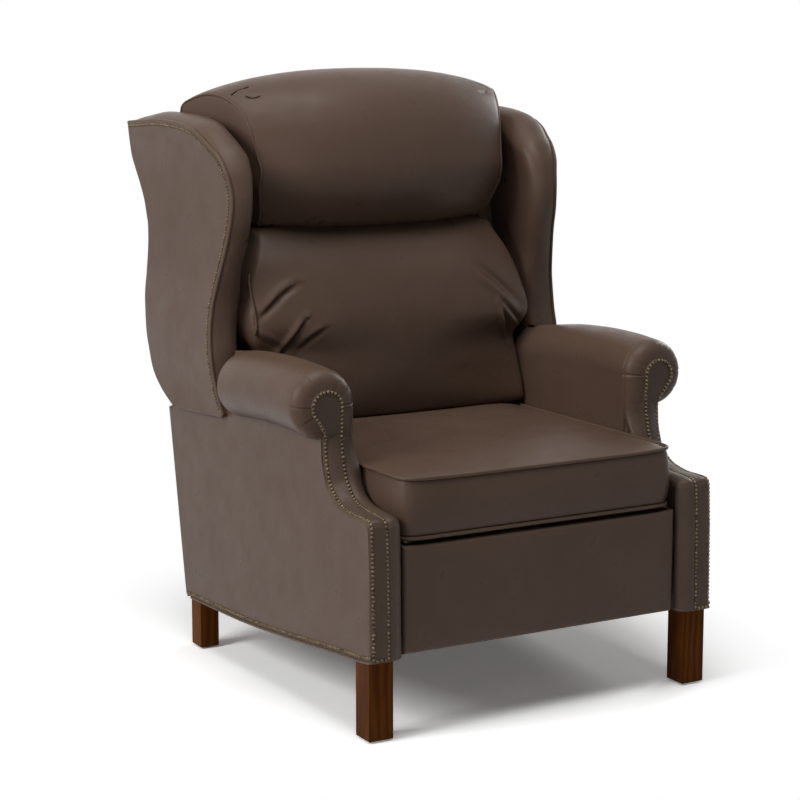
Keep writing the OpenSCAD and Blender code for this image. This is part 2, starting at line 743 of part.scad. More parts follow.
module back_rails() {
    rail_share = back_rail_thickness / back_post_depth;
    color(beech) for (z = [back_post_foot, back_ear_height + back_rail_height,
            back_post_top - back_rail_height])
        across(-back_post_inner, back_post_inner) polygon([
            raked(z, 0), raked(z, rail_share), raked(z + back_rail_height, rail_share),
            raked(z + back_rail_height, 0)]);
}

module back_bracket(side) {
    pivot = [pivot_y, pivot_z];
    head = raked(bracket_head_z, 0.5);
    half_width = pivot_radius * 2;
    color(steel) on_side(side) {
        strap(back_post_outer, bracket_outer, pivot, head, half_width);
        strap(back_post_outer, bracket_outer, pivot, drive_stud, drive_radius * 1.8);
        rod_across(bracket_outer, side_inner, pivot, pivot_radius);
        rod_across(seat_rail_outer - running_gap, back_post_outer, drive_stud, drive_radius);
    }
}

module outside_back() {
    full_half = wing_half - wing_shell - seat_gap * 4;
    apron_half = back_post_outer + plate_thickness;
    curve = outside_back_curve();
    narrow_top = wing_hem + wing_height * apron_share;
    color(leather) difference() {
        across(-full_half, full_half)
            polygon(concat(curve, backwards(raised(curve, outside_back_thickness))));
        for (side = [-1, 1]) on_side(side)
            box([apron_half, wing_front, 0], [full_half + overrun, overall_depth, narrow_top]);
    }
}

// Shares of the crest's side view over the posts, as [depth share, height share]
crest_shares = [
    [0.03, 0], [0.29, 0.49], [0.44, 0.585], [0.64, 0.5], [0.82, 0.34], [0.905, 0.22], [0.865, 0.03]
];

module back_crest() {
    front = raked(back_post_top, 0)[0];
    rise = overall_height - wing_top;
    color(leather) across(-back_post_outer, back_post_outer) polygon(
        [for (s = crest_shares) [lerp(front, overall_depth, s[0]),
            back_post_top + seat_gap + rise * s[1]]]);
}

// Wings

wing_columns = 6;
bracket_head_z = pivot_z + drive_reach * 1.2;
pad_bottom = bracket_head_z + pivot_radius * 2 + running_gap * 4;
pad_levels = [for (v = wing_levels) if (wing_hem + wing_height * v > pad_bottom) v];
pad_nose_steps = 5;
pad_gap = 0.9;
pad_crown = 10;

// How far a row of the wing rises in its middle and drops at its rear
function wing_rise(v, s) = wing_arch * (4 * s * (1 - s) * pow(v, 4) - 0.7 * s * pow(1 - v, 4));
function wing_point(v, s) =
    let (z = wing_hem + wing_height * v, f = at_height(wing_front_points(), z),
         r = at_height(wing_rear_points(), z), p = lerp(f, r, s))
    [p[0], p[1], z + wing_rise(v, s)];

module wing_shell(side) {
    color(leather) on_side(side) skin([for (v = wing_levels) concat(
        [for (k = [0:wing_columns]) wing_point(v, k / wing_columns)],
        [for (k = [wing_columns:-1:0]) wing_point(v, k / wing_columns) - [wing_shell, 0, 0]])]);
}

// Depths of the pad's inner face at one level, as shares from the nose to the rear: it is
// straight along the back post and turns outwards in front of it
function pad_inside(front_x, rear_x, front_y, post_y, rear_y, inset) = [
    [rear_x, rear_y], [rear_x, lerp(post_y, rear_y, 0.5)], [rear_x, post_y - pad_crown],
    [lerp(front_x, rear_x, 0.5), lerp(front_y, post_y, 0.5)],
    [lerp(front_x, rear_x, 0.1), lerp(front_y, post_y, 0.1)]];

// One level of the wing's pad: along the shell, forwards along the inner face and round the nose
function pad_level(v, inset, lift) =
    let (f = wing_point(v, 0), r = wing_point(v, 1), shell_step = wing_shell + pad_gap,
         rear_y = r[1] - outside_back_thickness * 1.9 - inset,
         last_share = (rear_y - f[1]) / (r[1] - f[1]),
         nose = (wing_thickness - shell_step) / 2,
         inside = pad_inside(f[0] - wing_thickness + inset, back_post_outer + seat_gap + inset,
             f[1] + nose, back_plane(f[2]), rear_y, inset))
    concat(
        [for (k = [0:wing_columns]) let (t = last_share * k / wing_columns, p = wing_point(v, t))
            [p[0] - shell_step - inset, p[1] + inset * (1 - t), p[2] + lift]],
        [for (p = inside) let (t = (p[1] - f[1]) / (r[1] - f[1]))
            [p[0], p[1], wing_hem + wing_height * v + wing_rise(v, t) + lift]],
        [for (k = [0:pad_nose_steps]) let (a = 90 * k / pad_nose_steps)
            [f[0] - shell_step - nose - (nose - inset) * cos(a),
                f[1] + nose - (nose - inset) * sin(a), f[2] + lift]]);

module wing_pad(side) {
    color(leather) on_side(side) skin(concat(
        [pad_level(pad_levels[0], pad_crown * 0.6, 0),
            pad_level(pad_levels[0], pad_crown * 0.15, pad_crown * 0.4)],
        [for (i = [1:len(pad_levels) - 1]) pad_level(pad_levels[i], 0, 0)],
        [pad_level(1, pad_crown * 0.3, pad_crown * 0.6), pad_level(1, pad_crown, pad_crown)]));
}

// Cushions

ring_points = 40;
function power(value, exponent) = sign(value) * pow(abs(value), exponent);

// Outline of a cushion seen from above, boxy where roundness is small
function plan_ring(half_front, half_rear, front, rear, z, roundness) =
    [for (k = [0:ring_points - 1]) let (a = 360 * (k + 0.5) / ring_points,
        s = (1 + power(sin(a), roundness)) / 2, half = lerp(half_front, half_rear, s))
        [half * power(cos(a), roundness), lerp(front, rear, s), z]];

// Levels of the seat cushion, as [height share, inset share]
seat_level_shares = [
    [0, 0.10], [0.03, 0.02], [0.12, 0], [0.5, 0.012], [0.9, 0], [1, 0.012], [1.08, 0.09],
    [1.16, 0.24], [1.21, 0.42], [1.235, 0.62], [1.245, 0.85]
];

module seat_cushion() {
    height = seat_top - seat_bottom;
    crown_scale = seat_crown / (seat_level_shares[len(seat_level_shares) - 1][0] - 1);
    rear_share = 1.5;
    color(leather) skin([for (s = seat_level_shares)
        let (inset = s[1] * seat_half,
             z = s[0] <= 1 ? seat_bottom + height * s[0] : seat_top + (s[0] - 1) * crown_scale)
        plan_ring(seat_half - inset, seat_half - inset, seat_front + inset,
            seat_rear - inset * rear_share, z, lerp(0.14, 0.5, s[1]))]);
}

// Right half of the back cushion's outline, as [half-width share, height share] of named sizes
function back_outline_half() = smooth([
    [back_cushion_half * 0.5, back_cushion_bottom],
    [back_cushion_half * 0.97, back_cushion_bottom + seat_crown / 4],
    [back_cushion_half, lerp(back_cushion_bottom, back_ear_height, 0.45)],
    [back_cushion_half, lerp(back_cushion_bottom, back_ear_height, 0.82)],
    [back_ear_half, back_ear_height],
    [lerp(back_ear_half, back_top_half, 0.35), lerp(back_ear_height, back_cushion_top, 0.42)],
    [back_top_half, lerp(back_ear_height, back_cushion_top, 0.93)],
    [back_top_half * 0.5, back_cushion_top]
], 3);

// Levels of the back cushion, as [thickness share, inset share]
back_level_shares = [
    [0, 0.055], [0.12, 0.035], [0.55, 0.012], [0.92, 0], [1, 0.03], [1.35, 0.14], [1.7, 0.33],
    [1.9, 0.56], [2, 0.8]
];

module back_cushion() {
    half_outline = back_outline_half();
    outline = concat(half_outline, [for (p = backwards(half_outline)) [-p[0], p[1]]]);
    middle = lerp(back_cushion_bottom, back_cushion_top, 0.48);
    color(leather) skin([for (s = back_level_shares)
        let (depth = s[0] <= 1 ? back_cushion_thickness * s[0]
            : back_cushion_thickness + back_cushion_crown * (s[0] - 1))
        [for (p = outline) let (z = lerp(p[1], middle, s[1]))
            [p[0] * (1 - s[1]), back_plane(z) - seat_gap - depth, z]]]);
}

// Levels of the bolster, as shares of its height, its reach in front of the back plane and
// behind it, and its half length at the front and at the rear
bolster_level_shares = [
    [0, 0.45, 0, 0.88, 0.8], [0.03, 0.66, 0, 0.96, 0.9], [0.14, 0.9, 0, 1, 0.92],
    [0.38, 1, 0, 1.01, 0.92], [0.575, 0.98, 0, 1.03, 0.92], [0.66, 0.93, 0.1, 1.08, 0.92],
    [0.76, 0.83, 0.18, 1.1, 1], [0.86, 0.67, 0.12, 1.02, 0.95], [0.93, 0.54, 0.02, 0.86, 0.8],
    [0.98, 0.4, -0.1, 0.6, 0.55], [1, 0.28, -0.16, 0.25, 0.22]
];

module head_bolster() {
    reach = bolster_thickness + bolster_crown;
    color(leather) skin([for (s = bolster_level_shares)
        let (z = bolster_bottom + bolster_height * s[0], plane = back_plane(z) - seat_gap)
        plan_ring(bolster_half * s[3], bolster_top_half * s[4], plane - reach * s[1],
            plane + reach * s[2], z, 0.5)]);
}

at_front() leg_front(-1);  // leg_front_left
at_front() leg_front(1);  // leg_front_right
at_front() leg_rear(-1);  // leg_rear_left
at_front() leg_rear(1);  // leg_rear_right
at_front() leg_glides();
at_front() side(-1);  // side_left
at_front() side(1);  // side_right
at_front() arm_stump(-1);  // arm_stump_left
at_front() arm_stump(1);  // arm_stump_right
at_front() arm_facing(-1);  // arm_facing_left
at_front() arm_facing(1);  // arm_facing_right
at_front() arm_roll(-1);  // arm_roll_left
at_front() arm_roll(1);  // arm_roll_right
at_front() arm_inside(-1);  // arm_inside_left
at_front() arm_inside(1);  // arm_inside_right
at_front() rear_panel();
at_front() rear_rail();
at_front() front_stretcher();
at_front() glide_channel(-1);  // glide_channel_left
at_front() glide_channel(1);  // glide_channel_right
at_front() pivot_plate(-1);  // pivot_plate_left
at_front() pivot_plate(1);  // pivot_plate_right
at_front() seat_rail(-1);  // seat_rail_left
at_front() seat_rail(1);  // seat_rail_right
at_front() seat_cross_rails();
at_front() seat_deck();
at_front() seat_cushion();
at_front() drive_plate(-1);  // drive_plate_left
at_front() drive_plate(1);  // drive_plate_right
at_front() tong_plate(-1);  // tong_plate_left
at_front() tong_plate(1);  // tong_plate_right
at_front() rear_rise_bar(-1);  // rear_rise_bar_left
at_front() rear_rise_bar(1);  // rear_rise_bar_right
at_front() rear_fall_bar(-1);  // rear_fall_bar_left
at_front() rear_fall_bar(1);  // rear_fall_bar_right
at_front() front_rise_bar(-1);  // front_rise_bar_left
at_front() front_rise_bar(1);  // front_rise_bar_right
at_front() front_fall_bar(-1);  // front_fall_bar_left
at_front() front_fall_bar(1);  // front_fall_bar_right
at_front() panel_link(-1);  // panel_link_left
at_front() panel_link(1);  // panel_link_right
at_front() panel_bracket(-1);  // panel_bracket_left
at_front() panel_bracket(1);  // panel_bracket_right
at_front() tong_tube();
at_front() footrest_panel();
at_front() back_post(-1);  // back_post_left
at_front() back_post(1);  // back_post_right
at_front() back_rails();
at_front() back_bracket(-1);  // back_bracket_left
at_front() back_bracket(1);  // back_bracket_right
at_front() outside_back();
at_front() back_crest();
at_front() wing_shell(-1);  // wing_shell_left
at_front() wing_shell(1);  // wing_shell_right
at_front() wing_pad(-1);  // wing_pad_left
at_front() wing_pad(1);  // wing_pad_right
at_front() back_cushion();
at_front() head_bolster();
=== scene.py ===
"""Leather wingback recliner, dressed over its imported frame.

The frame brings the legs, the rails, the back posts and the steel linkage. This script builds
everything that an upholsterer adds: the padded sides and arms with their keyhole facings and
nails, the wings, the outside back, the footrest panel, the seat and back cushions and the head
bolster. Lengths inside the classes are in millimetres, as (across, back, up): across from the
middle of the seat, back from the plane of the front posts, and up from the floor.
"""

from __future__ import annotations

import json
import logging
import math
from dataclasses import dataclass, field
from enum import Enum
from typing import Callable, ClassVar, Sequence

import bpy
import numpy as np
import numpy.typing as npt
from mathutils.bvhtree import BVHTree
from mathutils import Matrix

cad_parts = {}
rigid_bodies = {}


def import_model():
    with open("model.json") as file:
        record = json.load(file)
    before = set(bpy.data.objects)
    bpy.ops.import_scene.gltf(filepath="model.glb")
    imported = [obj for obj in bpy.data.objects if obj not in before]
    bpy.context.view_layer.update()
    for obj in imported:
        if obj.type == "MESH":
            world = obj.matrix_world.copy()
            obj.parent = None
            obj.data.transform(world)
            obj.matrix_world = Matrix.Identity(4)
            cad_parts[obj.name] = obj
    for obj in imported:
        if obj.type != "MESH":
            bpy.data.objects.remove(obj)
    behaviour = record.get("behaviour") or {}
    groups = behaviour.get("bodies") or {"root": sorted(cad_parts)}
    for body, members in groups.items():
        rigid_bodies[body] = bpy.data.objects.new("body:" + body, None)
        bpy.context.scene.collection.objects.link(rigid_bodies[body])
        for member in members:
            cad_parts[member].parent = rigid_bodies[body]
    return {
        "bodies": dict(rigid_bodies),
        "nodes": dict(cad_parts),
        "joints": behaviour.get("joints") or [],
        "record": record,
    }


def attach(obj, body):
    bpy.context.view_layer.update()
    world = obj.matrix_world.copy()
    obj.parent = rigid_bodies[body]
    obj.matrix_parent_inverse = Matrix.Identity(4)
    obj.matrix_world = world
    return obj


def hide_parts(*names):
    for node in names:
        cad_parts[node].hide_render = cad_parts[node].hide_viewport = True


Array = npt.NDArray[np.float64]
Faces = list[list[int]]
Rgb = tuple[float, float, float]
Place = tuple[float, float, float]
Knots = tuple[tuple[float, ...], ...]
Piece = bpy.types.Object
Tree = bpy.types.NodeTree
Node = bpy.types.Node
Socket = bpy.types.NodeSocket

MM = 0.001
FRONT_PLANE = -470.0
BACK_LEAN = 0.2126
LEAN_FOOT = 470.0
WHITE = (1.0, 1.0, 1.0, 1.0)
log = logging.getLogger("wingback_recliner")


class Side(Enum):
    """The two sides of the chair; the value is the sign of its across length."""

    LEFT = -1
    RIGHT = 1

    @property
    def label(self) -> str:
        """The word that ends the names of this side's pieces."""
        return self.name.lower()


class Body(Enum):
    """Moving bodies of the frame that new pieces ride on."""

    BASE = "base"
    SEAT = "seat"
    BACK = "back"
    FOOTREST = "footrest"


class Slot(Enum):
    """Material slots of the record."""

    LEATHER = "leather"
    FACING = "leather_facing"


# ---------------------------------------------------------------- numbers and curves


def spline(points: Sequence[Sequence[float]], steps: int, closed: bool = False) -> Array:
    """Samples a Catmull-Rom curve: on each span the cubic through its two ends whose slope at
    each end is half the step between the end's two neighbours.

    Args:
        points: Control points, each with the same number of coordinates.
        steps: Steps on each span.
        closed: Whether the last point joins the first.

    Returns:
        Array of the samples.
    """
    knots = np.asarray(points, float)
    spans = len(knots) if closed else len(knots) - 1
    t = np.linspace(0.0, spans, spans * steps + 1)
    i = np.minimum(t.astype(int), spans - 1)
    f = (t - i)[:, None]

    def knot(index: npt.NDArray[np.int_]) -> Array:
        """The control point at each index, wrapped or held at the ends."""
        return knots[index % len(knots)] if closed else knots[np.clip(index, 0, spans)]

    a, b, c, d = knot(i - 1), knot(i), knot(i + 1), knot(i + 2)
    return 0.5 * (
        2 * b + (c - a) * f + (2 * a - 5 * b + 4 * c - d) * f**2 + (3 * b - a - 3 * c + d) * f**3
    )


def smooth_curve(points: Sequence[Sequence[float]], count: int, closed: bool = False) -> Array:
    """A number of points evenly spaced along the Catmull-Rom curve through control points."""
    return resample(spline(points, 24, closed), count, not closed)


def running(line: Array) -> Array:
    """Length along a polyline up to each of its points."""
    return np.concatenate([[0.0], np.cumsum(np.linalg.norm(np.diff(line, axis=0), axis=1))])


def resample(line: Array, count: int, keep_end: bool = True) -> Array:
    """Points evenly spaced along a polyline, found by interpolating over its running length.

    Args:
        line: The polyline's points.
        count: Number of samples.
        keep_end: Whether the last sample is the line's end, or one step before it.

    Returns:
        Array of the samples.
    """
    run = running(line)
    at = np.linspace(0.0, run[-1], count if keep_end else count + 1)[:count]
    return np.stack([np.interp(at, run, column) for column in line.T], axis=1)


def plane_normals(line: Array, closed: bool) -> Array:
    """Unit normals of a plane curve: its tangent, by central differences, turned a quarter.

    Args:
        line: Points of shape (n, 2).
        closed: Whether the curve is a loop.

    Returns:
        Array of shape (n, 2), to the left of the direction of travel.
    """
    tangent = tangents(line, closed)
    normal = np.stack([-tangent[:, 1], tangent[:, 0]], axis=1)
    return normal / np.maximum(np.linalg.norm(normal, axis=1, keepdims=True), 1e-9)


def signed_area(loop: Array) -> float:
    """Area of a plane loop, positive where it runs anticlockwise."""
    x, y = loop[:, 0], loop[:, 1]
    return float(0.5 * np.sum(x * np.roll(y, -1) - y * np.roll(x, -1)))


def ease(values: Array) -> Array:
    """Smooth step from 0 to 1: three times the square less twice the cube."""
    t = np.clip(values, 0.0, 1.0)
    return t * t * (3 - 2 * t)


def upright(across: Array, plan: Array) -> Array:
    """Points (across, back, up) from their across lengths and their (back, up)."""
    return np.concatenate([across[..., None], plan], -1)


def plane_of_back(up: Array, foot: float) -> Array:
    """Depth at a height of a plane that leans back by 12 degrees from a depth at its foot."""
    return foot + (up - LEAN_FOOT) * BACK_LEAN


def signed_power(values: Array, exponent: float) -> Array:
    """Sign of each value times the power of its size, as in a superellipse."""
    return np.sign(values) * np.abs(values) ** exponent


# ---------------------------------------------------------------- meshes


def to_frame(points: Array) -> Array:
    """Turns (across, back, up) in millimetres into row coordinates in metres."""
    return (points + np.array([0.0, FRONT_PLANE, 0.0])) * MM


def new_object(name: str, data: bpy.types.ID) -> Piece:
    """Makes an object and links it to the scene."""
    made = bpy.data.objects.new(name, data)
    bpy.context.scene.collection.objects.link(made)
    return made


def mesh_piece(name: str, points: Array, faces: Faces) -> Piece:
    """Makes a mesh object whose faces point outwards: where the signed volume of its fan
    triangles is negative, every face is turned round.

    Args:
        name: Name of the piece.
        points: Vertices as (across, back, up) in millimetres.
        faces: Vertex indices of each face.

    Returns:
        The new object, at the origin.
    """
    place = to_frame(points)
    fan = np.array([[f[0], f[i], f[i + 1]] for f in faces for i in range(1, len(f) - 1)])
    a, b, c = place[fan[:, 0]], place[fan[:, 1]], place[fan[:, 2]]
    if np.einsum("ij,ij->i", a, np.cross(b, c)).sum() < 0:
        faces = [f[::-1] for f in faces]
    mesh = bpy.data.meshes.new(name)
    mesh.from_pydata(place.tolist(), [], faces)
    mesh.polygons.foreach_set("use_smooth", np.full(len(mesh.polygons), True))
    mesh.update()
    return new_object(name, mesh)


def grid_quads(rows: int, columns: int) -> Faces:
    """Quads between neighbouring points of a grid whose rows are loops.

    Args:
        rows: Number of rows.
        columns: Number of points in a row.

    Returns:
        Faces as index lists.
    """
    index = np.arange(rows * columns).reshape(rows, columns)
    index = np.concatenate([index, index[:, :1]], axis=1)
    quads = np.stack([index[:-1, :-1], index[:-1, 1:], index[1:, 1:], index[1:, :-1]], axis=-1)
    return quads.reshape(-1, 4).tolist()


def loft(name: str, rings: Array) -> Piece:
    """Closed skin over a stack of rings, with a pole at the middle of the first and the last.

    Args:
        name: Name of the piece.
        rings: Array of shape (rings, points, 3) in millimetres.

    Returns:
        The new object.
    """
    rows, columns, _ = rings.shape
    poles = [rings[0].mean(0)[None], rings[-1].mean(0)[None]]
    points = np.concatenate([rings.reshape(-1, 3), *poles])
    here = np.arange(columns)
    after = (here + 1) % columns
    first, last = np.full(columns, rows * columns), np.full(columns, rows * columns + 1)
    low = np.stack([first, after, here], 1).tolist()
    base = (rows - 1) * columns
    high = np.stack([last, here + base, after + base], 1).tolist()
    return mesh_piece(name, points, grid_quads(rows, columns) + low + high)


def tube(name: str, line: Array, radius: float, closed: bool = False) -> Piece:
    """A welt: a circle carried along a line.

    Args:
        name: Name of the piece.
        line: Centre line in millimetres.
        radius: Radius of the welt in millimetres.
        closed: Whether the line is a loop.

    Returns:
        The new object.
    """
    rings = tube_rings(line, radius, closed)
    if not closed:
        return loft(name, rings)
    rows, columns, _ = rings.shape
    points = rings.reshape(-1, 3)
    faces = grid_quads(rows, columns)
    last, first = (rows - 1) * columns + np.arange(columns), np.arange(columns)
    seam = np.stack([last, np.roll(last, -1), np.roll(first, -1), first], 1).tolist()
    return mesh_piece(name, points, faces + seam)


def tangents(line: Array, closed: bool) -> Array:
    """Tangents of a line by central differences, not of unit length."""
    return np.roll(line, -1, 0) - np.roll(line, 1, 0) if closed else np.gradient(line, axis=0)


def tube_rings(line: Array, radius: float, closed: bool, sides: int = 10) -> Array:
    """Circles round a centre line, square to its tangent. A circle's first axis is the tangent
    crossed with a fixed leaning direction, so the circles don't twist.

    Args:
        line: Centre line.
        radius: Radius of the circles.
        closed: Whether the line is a loop.
        sides: Points round a circle.

    Returns:
        Array of shape (line, sides, 3).
    """
    tangent = tangents(line, closed)
    tangent /= np.linalg.norm(tangent, axis=1, keepdims=True)
    lean = np.array([0.31, 0.17, 0.11])
    across = np.cross(tangent, lean)
    weak = np.linalg.norm(across, axis=1) < 0.05
    across[weak] = np.cross(tangent[weak], np.array([-0.1, 0.4, 0.3]))
    across /= np.linalg.norm(across, axis=1, keepdims=True)
    up = np.cross(tangent, across)
    turn = np.linspace(0, 2 * np.pi, sides, endpoint=False)
    cos, sin = np.cos(turn)[None, :, None], np.sin(turn)[None, :, None]
    return line[:, None] + radius * (cos * across[:, None] + sin * up[:, None])


def nail_heads(
    name: str, spots: Array, normals: Array, radius: float, height: float
) -> Piece:
    """Domed nail heads: each is a stack of three circles that shrink with the cosine of the
    climb while they rise with its sine, closed by a top point.

    Args:
        name: Name of the piece.
        spots: Middles of the heads on the leather, in millimetres.
        normals: Outward direction at each spot.
        radius: Radius of a head.
        height: Height of a head above the leather.

    Returns:
        One object with all the heads.
    """
    normals = normals / np.linalg.norm(normals, axis=1, keepdims=True)
    lean = np.where(np.abs(normals[:, 2:3]) > 0.8, [[1.0, 0.0, 0.0]], [[0.0, 0.0, 1.0]])
    first = np.cross(normals, lean)
    first /= np.linalg.norm(first, axis=1, keepdims=True)
    second = np.cross(normals, first)
    sides = 8
    turn = np.linspace(0, 2 * np.pi, sides, endpoint=False)
    climb = np.radians([-25.0, 5.0, 35.0, 62.0])
    out = radius * np.cos(climb)
    lift = height * np.sin(climb)
    circle = (
        np.cos(turn)[None, None, :, None] * first[:, None, None]
        + np.sin(turn)[None, None, :, None] * second[:, None, None]
    )
    rings = (
        spots[:, None, None]
        + out[None, :, None, None] * circle
        + lift[None, :, None, None] * normals[:, None, None]
    )
    count, levels = len(spots), len(climb)
    tops = spots + normals * height
    under = spots - normals * height * 0.5
    body = np.concatenate(
        [rings.reshape(count, levels * sides, 3), tops[:, None], under[:, None]], axis=1
    )
    size = levels * sides + 2
    quads = np.array(grid_quads(levels, sides))
    here = np.arange(sides)
    after = (here + 1) % sides
    last = (levels - 1) * sides
    crown = np.stack([here + last, after + last, np.full(sides, size - 2)], 1)
    foot = np.stack([after, here, np.full(sides, size - 1)], 1)
    start = (np.arange(count) * size)[:, None, None]
    parts = (quads, crown, foot)
    faces = [f for part in parts for f in (part[None] + start).reshape(-1, part.shape[1]).tolist()]
    return mesh_piece(name, body.reshape(-1, 3), faces)


def spaced(line: Array, normals: Array, pitch: float) -> tuple[Array, Array]:
    """Spots a pitch apart along a line, with the normals interpolated to them.

    Args:
        line: Points of the line.
        normals: Normal at each point.
        pitch: Distance between two spots, which is stretched a little to fill the line.

    Returns:
        The spots and their normals.
    """
    run = running(line)
    at = np.linspace(0.0, run[-1], max(2, int(round(run[-1] / pitch)) + 1))
    both = np.concatenate([line, normals], axis=1)
    out = np.stack([np.interp(at, run, column) for column in both.T], axis=1)
    return out[:, :3], out[:, 3:]


def without_repeats(loop: Array, least: float = 0.6) -> Array:
    """The loop without the points that lie closer than a least distance to the one before."""
    return loop[np.linalg.norm(loop - np.roll(loop, 1, 0), axis=1) > least]


@dataclass
class PaddedPanel:
    """A flat padded panel over a star-shaped outline: a back face, a wall, an edge rounded by a
    quarter circle, and a flat face drawn in towards its middle.

    Attributes:
        outline: Loop of (u, v) in millimetres.
        thickness: Height of the face above the back.
        edge: Radius of the rounded edge.
        place: Turns arrays u, v, w into points (across, back, up).
        middle: The point that the face is drawn in towards.
    """

    outline: Array
    thickness: float
    edge: float
    place: Callable[[Array, Array, Array], Array]
    middle: tuple[float, float]

    def build(self, name: str, side: Side = Side.RIGHT) -> Piece:
        """Makes the panel; its rings run from the middle of the back to that of the face.

        Args:
            name: Name of the piece.
            side: Side of the chair; the left mirrors the right.

        Returns:
            The new object.
        """
        loop = without_repeats(self.outline)
        loop = loop if signed_area(loop) > 0 else loop[::-1]
        inward = plane_normals(loop, True)
        middle = np.array(self.middle)
        full = np.ones(len(loop))
        turn = np.radians(np.linspace(0, 90, 7))
        low = self.thickness - self.edge
        rings = [(middle + (loop - middle) * s, 0 * full) for s in (0.04, 0.5, 1.0)]
        rings += [
            (loop + inward * self.edge * (1 - math.cos(a)), full * (low + self.edge * math.sin(a)))
            for a in turn
        ]
        rim = loop + inward * (self.edge + 1.5)
        shares = np.linspace(1, 0.03, 13)
        rings += [(middle + (rim - middle) * s, full * self.thickness) for s in shares]
        points = np.stack([self.place(p[:, 0], p[:, 1], w) for p, w in rings])
        points[..., 0] *= side.value
        return loft(name, points)


@dataclass
class CrownedBoard:
    """A padded board that stands across the chair: one face is flat, and the other swells by
    the product of two rounded shares, so that it has no creases towards its corners.

    Attributes:
        half: Half its width.
        foot: Lower edge of its padded face, as (back, up).
        climb: Step from its lower to its upper edge, as (back, up).
        thickness: Its thickness; below zero where the padded face looks forwards.
        swell: Swell at its middle.
        edge: Radius of its rounded edges.
    """

    half: float
    foot: tuple[float, float]
    climb: tuple[float, float]
    thickness: float
    swell: float
    edge: float

    def build(self, name: str) -> Piece:
        """Makes the board, one ring at each height: the padded line out and the flat line back.

        Args:
            name: Name of the piece.

        Returns:
            The new object.
        """
        tall = math.hypot(*self.climb)
        turn = np.radians(np.linspace(0, 90, 8))
        round_edge = self.edge * (1 - np.cos(turn))
        v, u = (
            np.concatenate([near[:-1], np.linspace(near[-1], 1 - near[-1], count), 1 - near[-2::-1]])
            for near, count in ((round_edge / tall, 26), (round_edge / self.half / 2, 44))
        )
        side = 1.0 if self.thickness > 0 else -1.0

        def fall(share: Array, length: float) -> Array:
            """How far the rounded edge falls back: a quarter circle."""
            gap = np.minimum(share, 1 - share) * length / self.edge
            return self.edge * (1 - np.sqrt(np.clip(1 - (1 - np.minimum(gap, 1)) ** 2, 0, 1)))

        bulge = (1 - (2 * u - 1) ** 6)[None] * (1 - (2 * v - 1) ** 4)[:, None] * self.swell
        drop = np.maximum(fall(v, tall)[:, None], fall(u, 2 * self.half)[None])
        x = np.broadcast_to((self.half * (2 * u - 1))[None], bulge.shape)
        y = self.foot[0] + (self.climb[0] * v)[:, None] + side * (bulge - drop)
        z = np.broadcast_to((self.foot[1] + self.climb[1] * v)[:, None], bulge.shape)
        flat = self.foot[0] + (self.climb[0] * v)[:, None] - self.thickness + 0 * bulge
        padded = np.stack([x, y, z], -1)
        plain = np.stack([x, flat, z], -1)
        return loft(name, np.concatenate([padded, plain[:, ::-1]], axis=1))


def mirrored(points: Array, side: Side) -> Array:
    """The points, with the across length turned to the side that is asked for."""
    return points * np.array([side.value, 1.0, 1.0])


# ---------------------------------------------------------------- finishes


def fill_inputs(tree: Tree, node: Node, inputs: dict[str | int, object]) -> None:
    """Fills a node's inputs with values, or with links from sockets.

    Args:
        tree: The node's tree.
        node: The node.
        inputs: Values or sockets for its inputs, by name or number.
    """
    for key, value in inputs.items():
        if isinstance(value, Socket):
            tree.links.new(value, node.inputs[key])
        else:
            node.inputs[key].default_value = value


def add_node(
    tree: Tree, kind: str, inputs: dict[str | int, object] | None = None, **properties: object
) -> Node:
    """Adds a node, sets its properties and fills its inputs.

    Args:
        tree: Node tree to add to.
        kind: Name of the node's type.
        inputs: Values or sockets for its inputs, by name or number.
        **properties: Properties by name.

    Returns:
        The new node.
    """
    node = tree.nodes.new(kind)
    for key, value in properties.items():
        setattr(node, key, value)
    fill_inputs(tree, node, inputs or {})
    return node


def new_group(name: str, inputs: dict[str, float | Rgb]) -> tuple[Tree, bpy.types.NodeOutputs]:
    """Makes a shader node group that will give a colour, a roughness and a height.

    Args:
        name: Name of the group.
        inputs: Input names with their default values; three numbers make a colour.

    Returns:
        The node tree, and the sockets of its inputs, among them Vector for the place.
    """
    tree = bpy.data.node_groups.new(name, "ShaderNodeTree")
    tree.interface.new_socket("Vector", in_out="INPUT", socket_type="NodeSocketVector")
    for label, value in inputs.items():
        kind = "Color" if isinstance(value, tuple) else "Float"
        socket = tree.interface.new_socket(label, in_out="INPUT", socket_type=f"NodeSocket{kind}")
        socket.default_value = (*value, 1.0) if isinstance(value, tuple) else value
    for label, kind in (("Colour", "Color"), ("Roughness", "Float"), ("Height", "Float")):
        tree.interface.new_socket(label, in_out="OUTPUT", socket_type=f"NodeSocket{kind}")
    return tree, tree.nodes.new("NodeGroupInput").outputs


def end_group(tree: Tree, colour: Socket, roughness: Socket, height: Socket) -> None:
    """Links a group's results to its outputs."""
    add_node(tree, "NodeGroupOutput", {"Colour": colour, "Roughness": roughness, "Height": height})


def noise(tree: Tree, place: Socket, scale: float, detail: float) -> Socket:
    """A noise of a fixed scale and detail at the given coordinates."""
    values = {"Vector": place, "Scale": scale, "Detail": detail}
    return add_node(tree, "ShaderNodeTexNoise", values).outputs["Fac"]


def mapped(
    tree: Tree, value: Socket, source: tuple[float, float], target: tuple[float, float] = (0.0, 1.0)
) -> Socket:
    """Maps a value from the source's range to the target's, held at the ends."""
    limits = dict(zip(("From Min", "From Max", "To Min", "To Max"), source + target))
    return add_node(tree, "ShaderNodeMapRange", {"Value": value, **limits}).outputs["Result"]


def sum_of(tree: Tree, a: Socket, b: Socket, share: float) -> Socket:
    """The value a plus the given share of b."""
    return add_node(tree, "ShaderNodeMath", {0: b, 1: share, 2: a}, operation="MULTIPLY_ADD").outputs[0]


